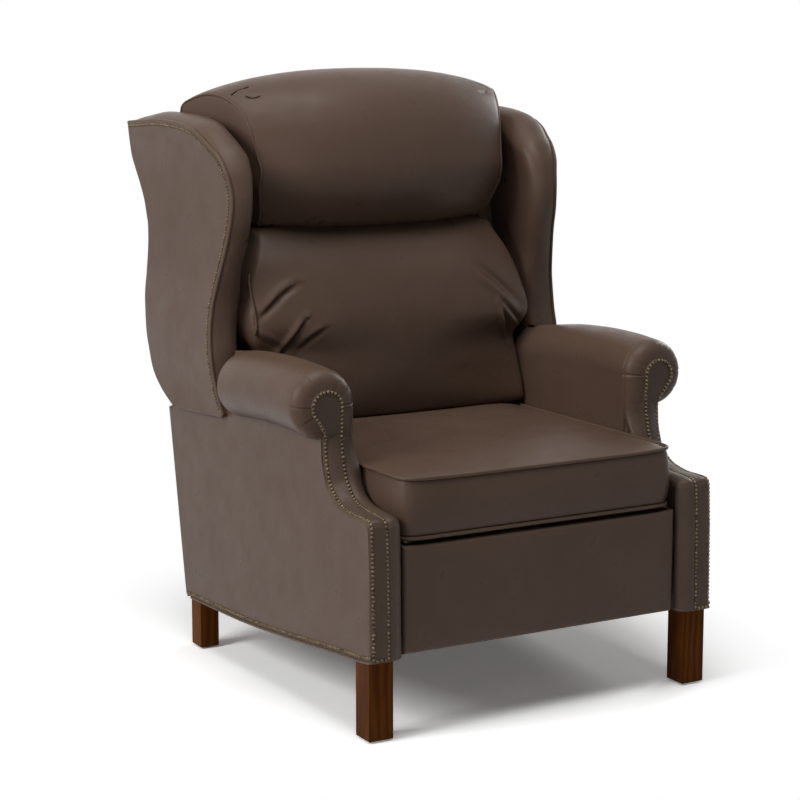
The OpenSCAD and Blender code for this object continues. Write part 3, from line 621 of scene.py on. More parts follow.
def mixed(tree: Tree, factor: Socket | float, a: Socket, b: Socket, mode: str = "MIX") -> Socket:
    """Two colours mixed by a factor; 6 and 7 are the node's colour inputs, 2 its output."""
    values = {0: factor, 6: a, 7: b}
    return add_node(tree, "ShaderNodeMix", values, data_type="RGBA", blend_type=mode).outputs[2]


def leather_group() -> None:
    """Leather: cloudy tone from wide noise, pebble grain from cells with pinched edges, fine
    pores and long soft creases from fine noise."""
    tree, given = new_group("leather_grain", {
        "Colour": (0.09, 0.065, 0.05), "Shade": (0.05, 0.036, 0.028), "Clouding": 0.6, "Gloss": 0.45,
    })
    place = given["Vector"]
    wide, cloudy = noise(tree, place, 5.5, 3.0), noise(tree, place, 22.0, 6.0)
    pores, crease = noise(tree, place, 1500.0, 2.0), noise(tree, place, 60.0, 8.0)
    cells = add_node(
        tree, "ShaderNodeTexVoronoi", {"Vector": place, "Scale": 620.0}, feature="DISTANCE_TO_EDGE",
    )
    tone = sum_of(tree, mapped(tree, wide, (0.35, 0.65), (0.0, 0.6)), cloudy, 0.5)
    shading = {0: tone, 1: given["Clouding"]}
    strength = add_node(tree, "ShaderNodeMath", shading, operation="MULTIPLY", use_clamp=True)
    mix = mixed(tree, strength.outputs[0], given["Colour"], given["Shade"])
    valley = mapped(tree, cells.outputs["Distance"], (0.0, 0.12))
    rough = sum_of(tree, given["Gloss"], mapped(tree, cloudy, (0.3, 0.7), (-0.5, 0.5)), 0.14)
    relief = sum_of(tree, mapped(tree, crease, (0.3, 0.7)), valley, 0.35)
    colour = mixed(tree, 0.22, mix, valley, "MULTIPLY")
    end_group(tree, colour, rough, sum_of(tree, relief, pores, 0.12))


def wood_group() -> None:
    """Wood: growth bands from a wave bent by noise, pores from noise drawn out along the
    grain."""
    tree, given = new_group(
        "wood_grain", {"Colour": (0.2, 0.06, 0.02), "Dark": (0.08, 0.02, 0.01), "Bands": 26.0},
    )
    drawn_out = {"Vector": given["Vector"], "Scale": (1.0, 1.0, 0.12)}
    place = add_node(tree, "ShaderNodeMapping", drawn_out).outputs[0]
    wave = add_node(tree, "ShaderNodeTexWave", {
        "Vector": place, "Scale": given["Bands"], "Distortion": 7.0, "Detail": 4.0, "Detail Scale": 1.6,
    }).outputs["Fac"]
    pores, cloud = noise(tree, place, 420.0, 5.0), noise(tree, place, 30.0, 4.0)
    tone = sum_of(tree, mapped(tree, wave, (0.0, 1.0), (0.0, 0.55)), pores, 0.35)
    mix = mixed(tree, sum_of(tree, tone, cloud, 0.25), given["Colour"], given["Dark"])
    end_group(tree, mix, mapped(tree, pores, (0.3, 0.7), (0.28, 0.46)), pores)


def metal_group() -> None:
    """Metal: tarnish in clouds and fine rubbing marks."""
    tree, given = new_group(
        "metal_wear", {"Colour": (0.4, 0.4, 0.42), "Tarnish": (0.12, 0.12, 0.13), "Gloss": 0.35},
    )
    cloud, marks = (noise(tree, given["Vector"], *kind) for kind in ((140.0, 6.0), (900.0, 3.0)))
    mix = mixed(tree, mapped(tree, cloud, (0.42, 0.68)), given["Colour"], given["Tarnish"])
    end_group(tree, mix, sum_of(tree, given["Gloss"], cloud, 0.2), marks)


@dataclass(frozen=True)
class Finish:
    """A finish: a principled shader whose colour, roughness and relief come from a node group.

    Attributes:
        name: Name of the material.
        group: Name of the node group.
        values: Values of the group's inputs.
        bump: Depth of the relief in metres.
        metallic: Share of metal.
        specular: Specular level.
    """

    name: str
    group: str
    values: tuple[tuple[str, float | Rgb], ...]
    bump: float = 0.0002
    metallic: float = 0.0
    specular: float = 0.5

    def material(self) -> bpy.types.Material:
        """Builds the material on first use.

        Returns:
            The material.
        """
        found = bpy.data.materials.get(self.name)
        if found:
            return found
        made = bpy.data.materials.new(self.name)
        made.use_nodes = True
        tree = made.node_tree
        values = {k: (*v, 1.0) if isinstance(v, tuple) else v for k, v in self.values}
        values["Vector"] = add_node(tree, "ShaderNodeTexCoord").outputs["Object"]
        grain = bpy.data.node_groups[self.group]
        group = add_node(tree, "ShaderNodeGroup", values, node_tree=grain).outputs
        relief = {"Strength": 1.0, "Distance": self.bump, "Height": group["Height"]}
        fill_inputs(tree, tree.nodes["Principled BSDF"], {
            "Base Color": group["Colour"], "Roughness": group["Roughness"],
            "Normal": add_node(tree, "ShaderNodeBump", relief).outputs["Normal"],
            "Metallic": self.metallic, "Specular IOR Level": self.specular,
        })
        made.diffuse_color = (0.1, 0.08, 0.07, 1.0)
        return made


LEATHER = Finish(
    "taupe_leather", "leather_grain",
    (
        ("Colour", (0.112, 0.0705, 0.05)), ("Shade", (0.092, 0.055, 0.0385)), ("Clouding", 0.8),
        ("Gloss", 0.33),
    ),
    bump=0.00016, specular=0.14,
)
FACING = Finish(
    "facing_leather", "leather_grain",
    (
        ("Colour", (0.098, 0.064, 0.047)), ("Shade", (0.078, 0.05, 0.037)), ("Clouding", 0.8),
        ("Gloss", 0.33),
    ),
    bump=0.00016, specular=0.14,
)
WELT = Finish(
    "welt_leather", "leather_grain",
    (
        ("Colour", (0.118, 0.074, 0.051)), ("Shade", (0.08, 0.049, 0.034)), ("Clouding", 0.7),
        ("Gloss", 0.36),
    ),
    bump=0.00012, specular=0.14,
)
BRASS = Finish(
    "antique_brass", "metal_wear",
    (("Colour", (0.15, 0.113, 0.064)), ("Tarnish", (0.035, 0.026, 0.015)), ("Gloss", 0.34)),
    bump=0.00004, metallic=0.85,
)
MAHOGANY = Finish(
    "stained_mahogany", "wood_grain",
    (("Colour", (0.15, 0.047, 0.0075)), ("Dark", (0.06, 0.018, 0.0035)), ("Bands", 20.0)),
    bump=0.0001, specular=0.02,
)
# Black lining of the seat deck; the same finish is the painted shade in the bolster's gather creases.
LINING_AND_CREASE_SHADE = Finish(
    "black_lining", "leather_grain",
    (
        ("Colour", (0.016, 0.014, 0.013)), ("Shade", (0.01, 0.009, 0.008)), ("Clouding", 0.5),
        ("Gloss", 0.8),
    ),
    bump=0.0001, specular=0.1,
)
BEECH = Finish(
    "bare_beech", "wood_grain",
    (("Colour", (0.55, 0.36, 0.2)), ("Dark", (0.36, 0.22, 0.12)), ("Bands", 34.0)), bump=0.0001,
)
STEEL = Finish(
    "zinc_steel", "metal_wear",
    (("Colour", (0.42, 0.43, 0.45)), ("Tarnish", (0.2, 0.2, 0.21)), ("Gloss", 0.3)),
    bump=0.00003, metallic=0.95,
)
NYLON = Finish(
    "black_nylon", "metal_wear",
    (("Colour", (0.022, 0.022, 0.024)), ("Tarnish", (0.035, 0.035, 0.036)), ("Gloss", 0.42)),
    bump=0.00003, specular=0.4,
)


def dress(
    piece: Piece, finish: Finish, body: Body, replaced: Sequence[str] = (),
) -> None:
    """Gives a piece its finish and its place in the frame, and reports it.

    Args:
        piece: The new object.
        finish: Its finish.
        body: Body that it rides on.
        replaced: Frame nodes that it stands for.
    """
    piece.data.materials.clear()
    piece.data.materials.append(finish.material())
    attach(piece, body.value)
    if replaced:
        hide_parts(*replaced)
    log.info("%s rides on %s with %d faces", piece.name, body.value, len(piece.data.polygons))


# ---------------------------------------------------------------- shared lines of the chair

SIDE_FRONT_HALF = 358.0
SIDE_FLARE = 9.0
BASE_TOP_DEPTH = 804.0
HEM_BACK = [(0, 147), (33, 141), (112, 135), (263, 120), (425, 106), (554, 99.5), (737, 94)]
OUTER_FRONT = [
    (0.2, 146), (0.6, 200), (3, 300), (6, 372), (8.5, 384), (16, 390), (39, 391), (70, 391),
    (98, 395), (118.5, 400.5), (136.5, 411.5), (153, 426), (161, 445), (167, 464), (170, 485),
    (169, 512),
]
MIDDLE_FRONT = [
    (0.6, 146), (1, 200), (3, 300), (6.5, 366), (9, 380), (16, 388), (40, 392), (72, 394),
    (98, 398), (120, 406), (134, 418), (146, 433), (153, 448), (158, 468), (163, 492), (165, 520),
]
INNER_FRONT = [
    (20, 146), (20.5, 200), (22, 300), (23, 366), (25.5, 378), (32, 383), (50, 385), (82, 387),
    (106, 390), (122, 395), (139, 403), (151, 418), (158, 441), (165, 464), (171, 492), (175, 520),
]


def side_half(back: Array) -> Array:
    """Half the width over the sides at a depth; they flare evenly to the rear."""
    return SIDE_FRONT_HALF + SIDE_FLARE * back / BASE_TOP_DEPTH


@dataclass
class Nailing:
    """Rows of antique brass nails.

    Attributes:
        pitch: Distance between two nails.
        radius: Radius of a head.
        height: Height of a head.
    """

    pitch: float = 7.3
    radius: float = 3.3
    height: float = 2.7

    def row(self, name: str, line: Array, normals: Array, body: Body) -> None:
        """Sets one row of nails along a line and dresses it."""
        spots, out = spaced(line, normals, self.pitch)
        dress(nail_heads(name, spots, out, self.radius, self.height), BRASS, body)


@dataclass
class SidePart:
    """A sub-assembly that stands on either side; it is worked out for the right.

    Attributes:
        side: Side of the chair.
        nails: Its nails.
        body: Body that its pieces ride on.
    """

    side: Side
    nails: Nailing = field(default_factory=Nailing)
    body: ClassVar[Body] = Body.BASE

    def name(self, stem: str, tail: str = "") -> str:
        """A name with this side's word after its stem."""
        return f"{stem}_{self.side.label}{tail}"

    def cover(
        self, piece: Piece, node: str = "", finish: Finish = LEATHER
    ) -> None:
        """Dresses a leather piece of this side.

        Args:
            piece: The new object.
            node: Stem of the frame's node that it stands for, or nothing.
            finish: Its finish.
        """
        dress(piece, finish, self.body, (self.name(node),) if node else ())

    def skin(
        self, stem: str, rings: Array, node: str = "", fill: float | None = None,
        finish: Finish = LEATHER, tail: str = "",
    ) -> None:
        """Lofts and dresses a skin, turned to this side.

        Args:
            stem: Stem of the piece's name.
            rings: Its rings, for the right side.
            node: Stem of the frame's node that it stands for, or nothing.
            fill: How full it is, or None; it is not used.
            finish: Its finish.
            tail: End of the piece's name.
        """
        self.cover(loft(self.name(stem, tail), mirrored(rings, self.side)), node, finish)

    def panel(
        self, stem: str, panel: PaddedPanel, node: str = "", fill: float | None = None,
        finish: Finish = LEATHER, tail: str = "",
    ) -> None:
        """Builds and dresses a padded panel on this side; the arguments are those of skin."""
        self.cover(panel.build(self.name(stem, tail), self.side), node, finish)

    def welt_line(self, stem: str, line: Array, radius: float) -> None:
        """Carries a welt along a line, turned to this side."""
        self.cover(tube(self.name(stem), mirrored(line, self.side), radius), finish=WELT)

    def nail_row(self, stem: str, line: Array, normals: Array) -> None:
        """Sets a row of nails along a line, turned to this side; one normal serves for all."""
        normals = np.broadcast_to(normals, line.shape)
        self.nails.row(
            self.name(stem), mirrored(line, self.side), mirrored(normals, self.side), self.body
        )


@dataclass
class Arm(SidePart):
    """One arm with its side: outside panel, nailed facing, roll and inside.

    Attributes:
        roll_radius: Radius of the padded roll.
        roll_middle: Middle of the roll, across and up.
        roll_front: Depth of the front of the roll.
        roll_rear: Depth of its rear end.
        keyhole_radius: Radius of the round top of the facing.
        post_inner: Inner face of the arm.
        strip_middle: Across length of the middle of the strip between the nails.
        strip_reach: From there to either edge.
        welt: Radius of the hem's welt.
    """

    roll_radius: float = 61.5
    roll_middle: tuple[float, float] = (352.0, 559.0)
    roll_front: float = 165.0
    roll_rear: float = 488.0
    keyhole_radius: float = 31.0
    post_inner: float = 291.5
    strip_middle: float = 323.0
    strip_reach: float = 32.0
    welt: float = 2.6

    def front_surface(self, across: Array, share: Array) -> tuple[Array, Array]:
        """The nailed front of the arm: at each share of the climb from the foot to the roll,
        the outer, middle and inner lines are joined across; from the inner nails inwards the
        joint is a quarter of an ellipse, so the padding rolls back to the inner face.

        Args:
            across: Across lengths, from 291 to 358.
            share: Shares of the climb.

        Returns:
            Points of shape (share, across, 3) and the outward normals of the outer line.
        """
        lines = []
        for knots in (OUTER_FRONT, MIDDLE_FRONT, INNER_FRONT):
            line = spline(knots, 12)
            even = np.linspace(0, 1, len(line))
            lines.append(np.stack([np.interp(share, even, column) for column in line.T], 1))
        t = np.clip((self.strip_middle - across) / self.strip_reach, 0, 1)
        inner_weight = 1 - np.sqrt(np.clip(1 - t**2, 0, 1))
        outer_weight = np.clip((across - self.strip_middle) / self.strip_reach, 0, 1)
        weights = (outer_weight, 1 - inner_weight - outer_weight, inner_weight)
        plan = sum(line[:, None] * w[None, :, None] for line, w in zip(lines, weights))
        normal = plane_normals(lines[0], False)
        spread = np.broadcast_to(across[None, :, None], (len(share), len(across), 1))
        return np.concatenate([spread, plan], axis=2), normal

    def facing(self) -> None:
        """The padded front of the arm between its edges, with the strip between the nails."""
        columns = np.array([
            357.2, 357.2, 356.9, 356.2, 355.1, 353.6, 352.0, 349.6, 345, 339, 332, 327, 324.6, 323,
            321.4, 319, 315, 310, 305, 300, 296, 293, 291.6, 291.2, 291.2,
        ])
        depth = np.array([
            11, 6, 4.2, 2.9, 1.9, 1.5, 0.9, -0.3, -1.2, -1.5, -1.3, -0.6, 0.2, 0.9,
            0.1, -1.3, -2.4, -3.0, -2.9, -2.2, -1.2, -0.4, 0, 3, 9,
        ])
        share = np.linspace(0, 1, 150)
        grid, normal = self.front_surface(columns, share)
        grid[:, :, 1:] -= normal[:, None] * depth[None, :, None] * self.turned(normal)
        up = grid[:, :, 2]
        blend = ease((up - 446) / 54) * ease((326 - columns) / 12)
        sunk = self.dome_level(columns)[None, :] + np.where(depth > 2.9, depth, 0)[None, :]
        level = sunk - 0.4 + 3 * ease((up - 502) / 8)
        grid[:, :, 1] += (level - grid[:, :, 1]) * blend
        self.skin("arm_front", grid, "arm_facing", 0.3, FACING)

    def dome_level(self, across: Array) -> Array:
        """Back length of the roll's domed front on a level line through its middle."""
        r = self.roll_middle[0] - across
        k = np.clip((r - 38) / 24, 0, 0.96)
        dome = np.where(r < 38, 3 * (r / 37) ** 2, 3.2 + 24 * (1 - np.sqrt(1 - k**2)))
        return self.roll_front + 0.5 + dome

    @staticmethod
    def turned(normal: Array) -> float:
        """The sign that turns the front line's normals out of the arm, which is forwards."""
        return 1.0 if normal[0, 0] < 0 else -1.0

    def block(self) -> None:
        """The body of the arm post behind its facing, between the facing and the side."""
        inner = spline(INNER_FRONT, 12)
        normal = plane_normals(inner, False) * self.turned(plane_normals(inner, False))
        line = inner - normal * 3.0
        outline = np.concatenate([line[::3], [[200, 520], [200, 330], [200, 146]]])
        self.panel("arm_block", PaddedPanel(
            outline, 60.0, 2.5,
            lambda u, v, w: np.stack([self.post_inner + 64.5 - w, u, v], -1), middle=(170, 345),
        ), "arm_stump")

    def outside(self) -> None:
        """The outside panel, in one piece from the facing to the rear: one ring at each depth,
        up the outer face from the hem to the sweep or the roll, and down the inner face."""
        outer = spline(OUTER_FRONT, 12)
        normal = plane_normals(outer, False)
        line = outer - normal * self.turned(normal) * 4.6
        head = np.concatenate([line[line[:, 1] > 300], [
            [182, 530], [250, 540], [400, 540], [478, 536], [560, 520], [640, 502], [700, 490],
            [760, 476], [796, 467], [803, 465],
        ]])
        hem = smooth_curve(HEM_BACK, 60)
        foot = np.concatenate([hem + np.array([0.0, 2.0]), [[802, 462], [803, 464.5]]])
        back = np.concatenate([
            [4.8, 5.4, 6.4, 8.0, 10.0], np.arange(13, 170, 4.0), [171, 173, 176],
            np.arange(186, 730, 16), np.linspace(731, 801.5, 14),
        ])
        order = np.maximum.accumulate(head[:, 0] + np.arange(len(head)) * 1e-6)
        top, low = np.interp(back, order, head[:, 1]), np.interp(back, foot[:, 0], foot[:, 1])
        edge = np.array([0, 0.6, 1.6, 3.2, 5.5])
        share = np.linspace(0, 1, 26)[1:-1]
        tall = (top - low)[:, None]
        z = np.concatenate([
            low[:, None] + np.minimum(edge, tall * 0.1), low[:, None] + tall * (0.02 + 0.96 * share),
            top[:, None] - np.minimum(edge[::-1], tall * 0.1),
        ], axis=1)
        fall = 2.6 * (1 - np.sqrt(1 - (1 - np.minimum(edge / 3.2, 1)) ** 2))
        across = np.concatenate([fall, 0 * share, fall[::-1]])
        front_fall = 2.0 * (1 - np.clip((back - 4.8) / 3, 0, 1)) ** 2
        x = side_half(back)[:, None] - np.maximum(across[None], front_fall[:, None])
        face = np.stack([x, back[:, None] + 0 * z, z], -1)
        inner = np.stack([np.full_like(z, 331.0), back[:, None] + 0 * z, z], -1)
        rings = np.concatenate([face, inner[:, ::-1]], axis=1)
        self.skin("side_panel", rings, "side", 0.3)

    def roll(self) -> None:
        """The padded roll: a profile turned about the roll's middle line. The front is domed
        and drawn in by pleats that fade out past the rounded edge."""
        turn = np.radians(np.arange(0, 360, 1.25))
        length = self.roll_rear - self.roll_front
        corner, rear_corner = 24.0, 14.0
        shoulder, straight = 3.5 + corner, length - 3.5 - corner - rear_corner
        front = [(r, 3.0 * (r / 37) ** 2) for r in (2, 10, 18, 24, 29, 33)]
        a = np.radians(np.linspace(0, 90, 10))
        round_front = [
            (self.roll_radius - corner + corner * math.sin(x), 3.5 + corner * (1 - math.cos(x)))
            for x in a
        ]
        body = [
            (self.roll_radius + 0.8 * math.sin(math.pi * k / 14), shoulder + straight * k / 14)
            for k in range(1, 14)
        ]
        inner, end = self.roll_radius - rear_corner, length - rear_corner
        round_rear = [
            (inner + rear_corner * math.cos(x), end + rear_corner * math.sin(x)) for x in a
        ]
        rear = [(r, length) for r in (30, 18, 8, 2)]
        profile = np.array(front + round_front + body + round_rear + rear)
        radius, depth = profile[:, :1], profile[:, 1:]
        pleats = self.pleat_depth(turn)[None] * ease((radius - 24) / 10) * ease((30 - depth) / 18)
        radius = radius - pleats * 0.5 * ease((depth - 2) / 10)
        depth = depth + pleats * (1 - ease((depth - 2) / 14) * 0.6)
        x = self.roll_middle[0] + radius * np.cos(turn)[None]
        z = self.roll_middle[1] + radius * np.sin(turn)[None] + self.rise(self.roll_front + depth)
        rings = np.stack([x, self.roll_front + depth + 0 * x, z], -1)
        self.skin("arm_roll", rings, "arm_roll", 0.7, tail="_pad")

    def cheek(self) -> None:
        """The leather under the inner half of the roll's front, which follows its dome."""
        bend = 352 - 38 - 24 * np.sin(np.radians(np.linspace(8, 74, 12)))
        x = np.concatenate([np.linspace(326, 314, 6), bend, [290.3]])
        run = np.stack([x, self.dome_level(x)], 1)
        ring = np.concatenate([run, [[290.2, 215], [300, 218], [328, 218], [328, 190]]])
        z = np.array([420.0, 421, 424, 440, 455, 470, 485, 500, 512, 524, 536, 548, 556, 560])
        inset = np.interp(z, [420, 421, 424, 440, 485, 502], [5, 3, 1.2, 0.9, 0.7, 0])
        inward = plane_normals(ring, True) * (1.0 if signed_area(ring) > 0 else -1.0)
        plan = ring + inward * inset[:, None, None]
        rings = np.concatenate([plan, np.broadcast_to(z[:, None, None], plan.shape[:2] + (1,))], -1)
        self.skin("arm_cheek", rings, fill=0.5)

    @staticmethod
    def rise(back: Array) -> Array:
        """How far the roll rises at a depth: it is fullest in front of its middle and sinks
        towards the wing.

        Args:
            back: Depths.

        Returns:
            Rise at each depth.
        """
        line = smooth_curve([
            (150, 0), (172, 0.6), (205, 3.6), (260, 6.8), (320, 7.2), (380, 5.2), (435, 1.4),
            (488, -5), (520, -9.6), (560, -14),
        ], 120)
        return np.interp(back, line[:, 0], line[:, 1])

    @staticmethod
    def pleat_depth(turn: Array) -> Array:
        """Depth of the pleats round the roll: narrow folds at uneven angles, deepest at the
        two sides, where the leather is gathered. Each is a bell of the angle to its middle,
        less a wider bell beside it.

        Args:
            turn: Angles round the roll.

        Returns:
            Depth at each angle in millimetres.
        """
        angles = np.radians([2.0, 31.0, 58.0, 122.0, 150.0, 179.0, 212.0, 326.0])
        depths = np.array([2.0, 0.7, 1.3, 0.6, 0.8, 2.0, 0.9, 0.9])
        width = np.radians([1.5, 4.0, 2.2, 5.0, 4.0, 1.5, 3.0, 3.0])
        gap = np.angle(np.exp(1j * (turn[:, None] - angles[None])))
        ridge = 0.3 * np.exp(-(((gap - 2.4 * width) / (2.0 * width)) ** 2))
        return ((np.exp(-((gap / width) ** 2)) - ridge) * depths).sum(1)

    def keyhole(self) -> None:
        """The round head of the facing on the front of the roll, joined to the strip below."""
        middle = np.array(self.roll_middle)
        angle = np.radians(np.linspace(-52, 200, 60))
        arc = middle + self.keyhole_radius * np.stack([np.cos(angle), np.sin(angle)], 1)
        left = [(321.5, 540), (321.3, 520), (321.3, 494)]
        right = [(357.0, 494), (357.2, 515), (360.5, 527)]
        outline = smooth_curve(np.concatenate([arc, left, right])[::2], 120, closed=True)
        self.panel("arm_keyhole", PaddedPanel(
            outline, 4.6, 2.0, lambda u, v, w: np.stack(
                [u, self.roll_front + 3.6 - w + 3.5 * ease((520 - v) / 30), v], -1,
            ), middle=(349, 552),
        ), finish=FACING)

    def facing_nails(self) -> None:
        """One row of nails up the outer edge, round the keyhole and down the inner edge."""
        share = np.linspace(0.012, 1, 300)
        grid, normal = self.front_surface(np.array([352.8, 324.4]), share)
        grid[:, :, 1:] -= normal[:, None] * np.array([1.0, 0.5])[None, :, None] * self.turned(normal)
        out = np.concatenate([np.zeros((len(share), 1)), normal * self.turned(normal)], 1)
        tilted = (out + np.array([0.5, 0.0, 0.0])) / math.hypot(1.0, 0.5)
        outer, inner = grid[:, 0], grid[:, 1]
        low = outer[:, 2] < 500
        cx, cz = self.roll_middle
        angle = np.radians(np.linspace(-50, 182, 40))
        r = self.keyhole_radius - 3.0
        face = self.roll_front - 1.6
        arc = np.stack([cx + r * np.cos(angle), np.full(40, face), cz + r * np.sin(angle)], 1)
        start = [(354.6, face + 3.0, 514.0)]
        end = [(324.0, face + 0.4, 545.0), (323.6, face + 2.0, 525.0)]
        arc = smooth_curve(np.concatenate([start, arc, end]), 80)
        low_inner = inner[:, 2] < 508
        line = np.concatenate([outer[low], arc, inner[low_inner][::-1]])
        ahead = np.tile([[0.0, -1.0, 0.0]], (len(arc), 1))
        normals = np.concatenate([tilted[low], ahead, out[low_inner][::-1]])
        self.nail_row("facing_nails", line, normals)
        foot = np.stack([np.linspace(331, 347, 3), np.full(3, -1.6), np.full(3, 150.0)], 1)
        self.nail_row("foot_nails", foot, np.array([0.0, -1.0, 0.0]))

    def inside(self) -> None:
        """The padded inside of the arm: a skin over the roll's inner half, which carries on
        down to the seat and on back to the wing, and a flat panel behind it."""
        corners = np.array([
            (186, 400), (624, 400), (624, 470), (548, 540), (196, 540), (186, 530), (182, 500),
            (186, 400),
        ], float)
        self.panel("arm_inside", PaddedPanel(
            resample(corners, 240, False), 37.4, 3.0,
            lambda u, v, w: np.stack([330 - w, u, v], -1), middle=(400, 465),
        ), fill=0.4, tail="_rear")
        turn = np.radians(np.linspace(80, 180, 60))
        cx, cz = self.roll_middle
        radius = 60.6 + 1.8 * ease((turn - turn[0]) / 0.45)
        arc = np.stack([cx + radius * np.cos(turn), cz + radius * np.sin(turn)], 1)
        wall = [
            (289.8, 520), (290.4, 480), (291.0, 440), (291.6, 404), (296, 400), (326, 400),
            (330, 404), (330, 470), (331, 520), (344, 556), (351, 590),
        ]
        ring = resample(np.concatenate([arc[::2], wall, arc[:1]]), 220, False)
        ring = ring if signed_area(ring) > 0 else ring[::-1]
        inward = plane_normals(ring, True)
        ends = [188, 188.6, 189.8, 191.8, 194.5, 198], [572, 578, 582, 584]
        back = np.concatenate([
            ends[0], np.arange(212, 526, 13), np.arange(532, 553, 3), [562], ends[1],
        ])
        inset = np.interp(back, ends[0] + ends[1], [14, 8, 4, 1.2, 0.2, 0, 0, 2.0, 5, 10])
        flat = ring + inward * inset[:, None, None]
        outermost = 352 - 26 * ease((back - 530) / 20)
        flat[..., 0] = np.minimum(flat[..., 0], outermost[:, None])
        lift = self.rise(back)[:, None] * ease((flat[..., 1] - 470) / 90)
        rings = np.stack([flat[..., 0], back[:, None] + 0 * lift, flat[..., 1] + lift], -1)
        self.skin("arm_inside", rings, "arm_inside", 0.6, tail="_pad")

    def hem(self) -> None:
        """The welt along the foot of the arm and the side, and the nails above it."""
        hem = smooth_curve(HEM_BACK, 140)
        along = np.stack([side_half(hem[:, 0]) - 0.6, hem[:, 0], hem[:, 1] + 0.8], 1)
        foot = np.array([[292.0, 24, 147.5], [294, 14, 147.5], [302, 5, 147.5], [318, 2.4, 147.5],
                         [340, 1.6, 147.5], [353, 1.6, 147.5], [357.2, 4, 147.3]])
        line = smooth_curve(np.concatenate([foot, along[3::6]]), 200)
        self.welt_line("hem_welt", line, self.welt)
        rows = hem[(hem[:, 0] > 5) & (hem[:, 0] < 731)]
        spots = np.stack([side_half(rows[:, 0]) + 0.1, rows[:, 0], rows[:, 1] + 9.0], 1)
        self.nail_row("hem_nails", spots, np.array([1.0, 0.0, 0.0]))

    def build(self) -> None:
        """Builds the whole arm."""
        self.outside()
        self.block()
        self.facing()
        self.roll()
        self.cheek()
        self.keyhole()
        self.inside()
        self.facing_nails()
        self.hem()


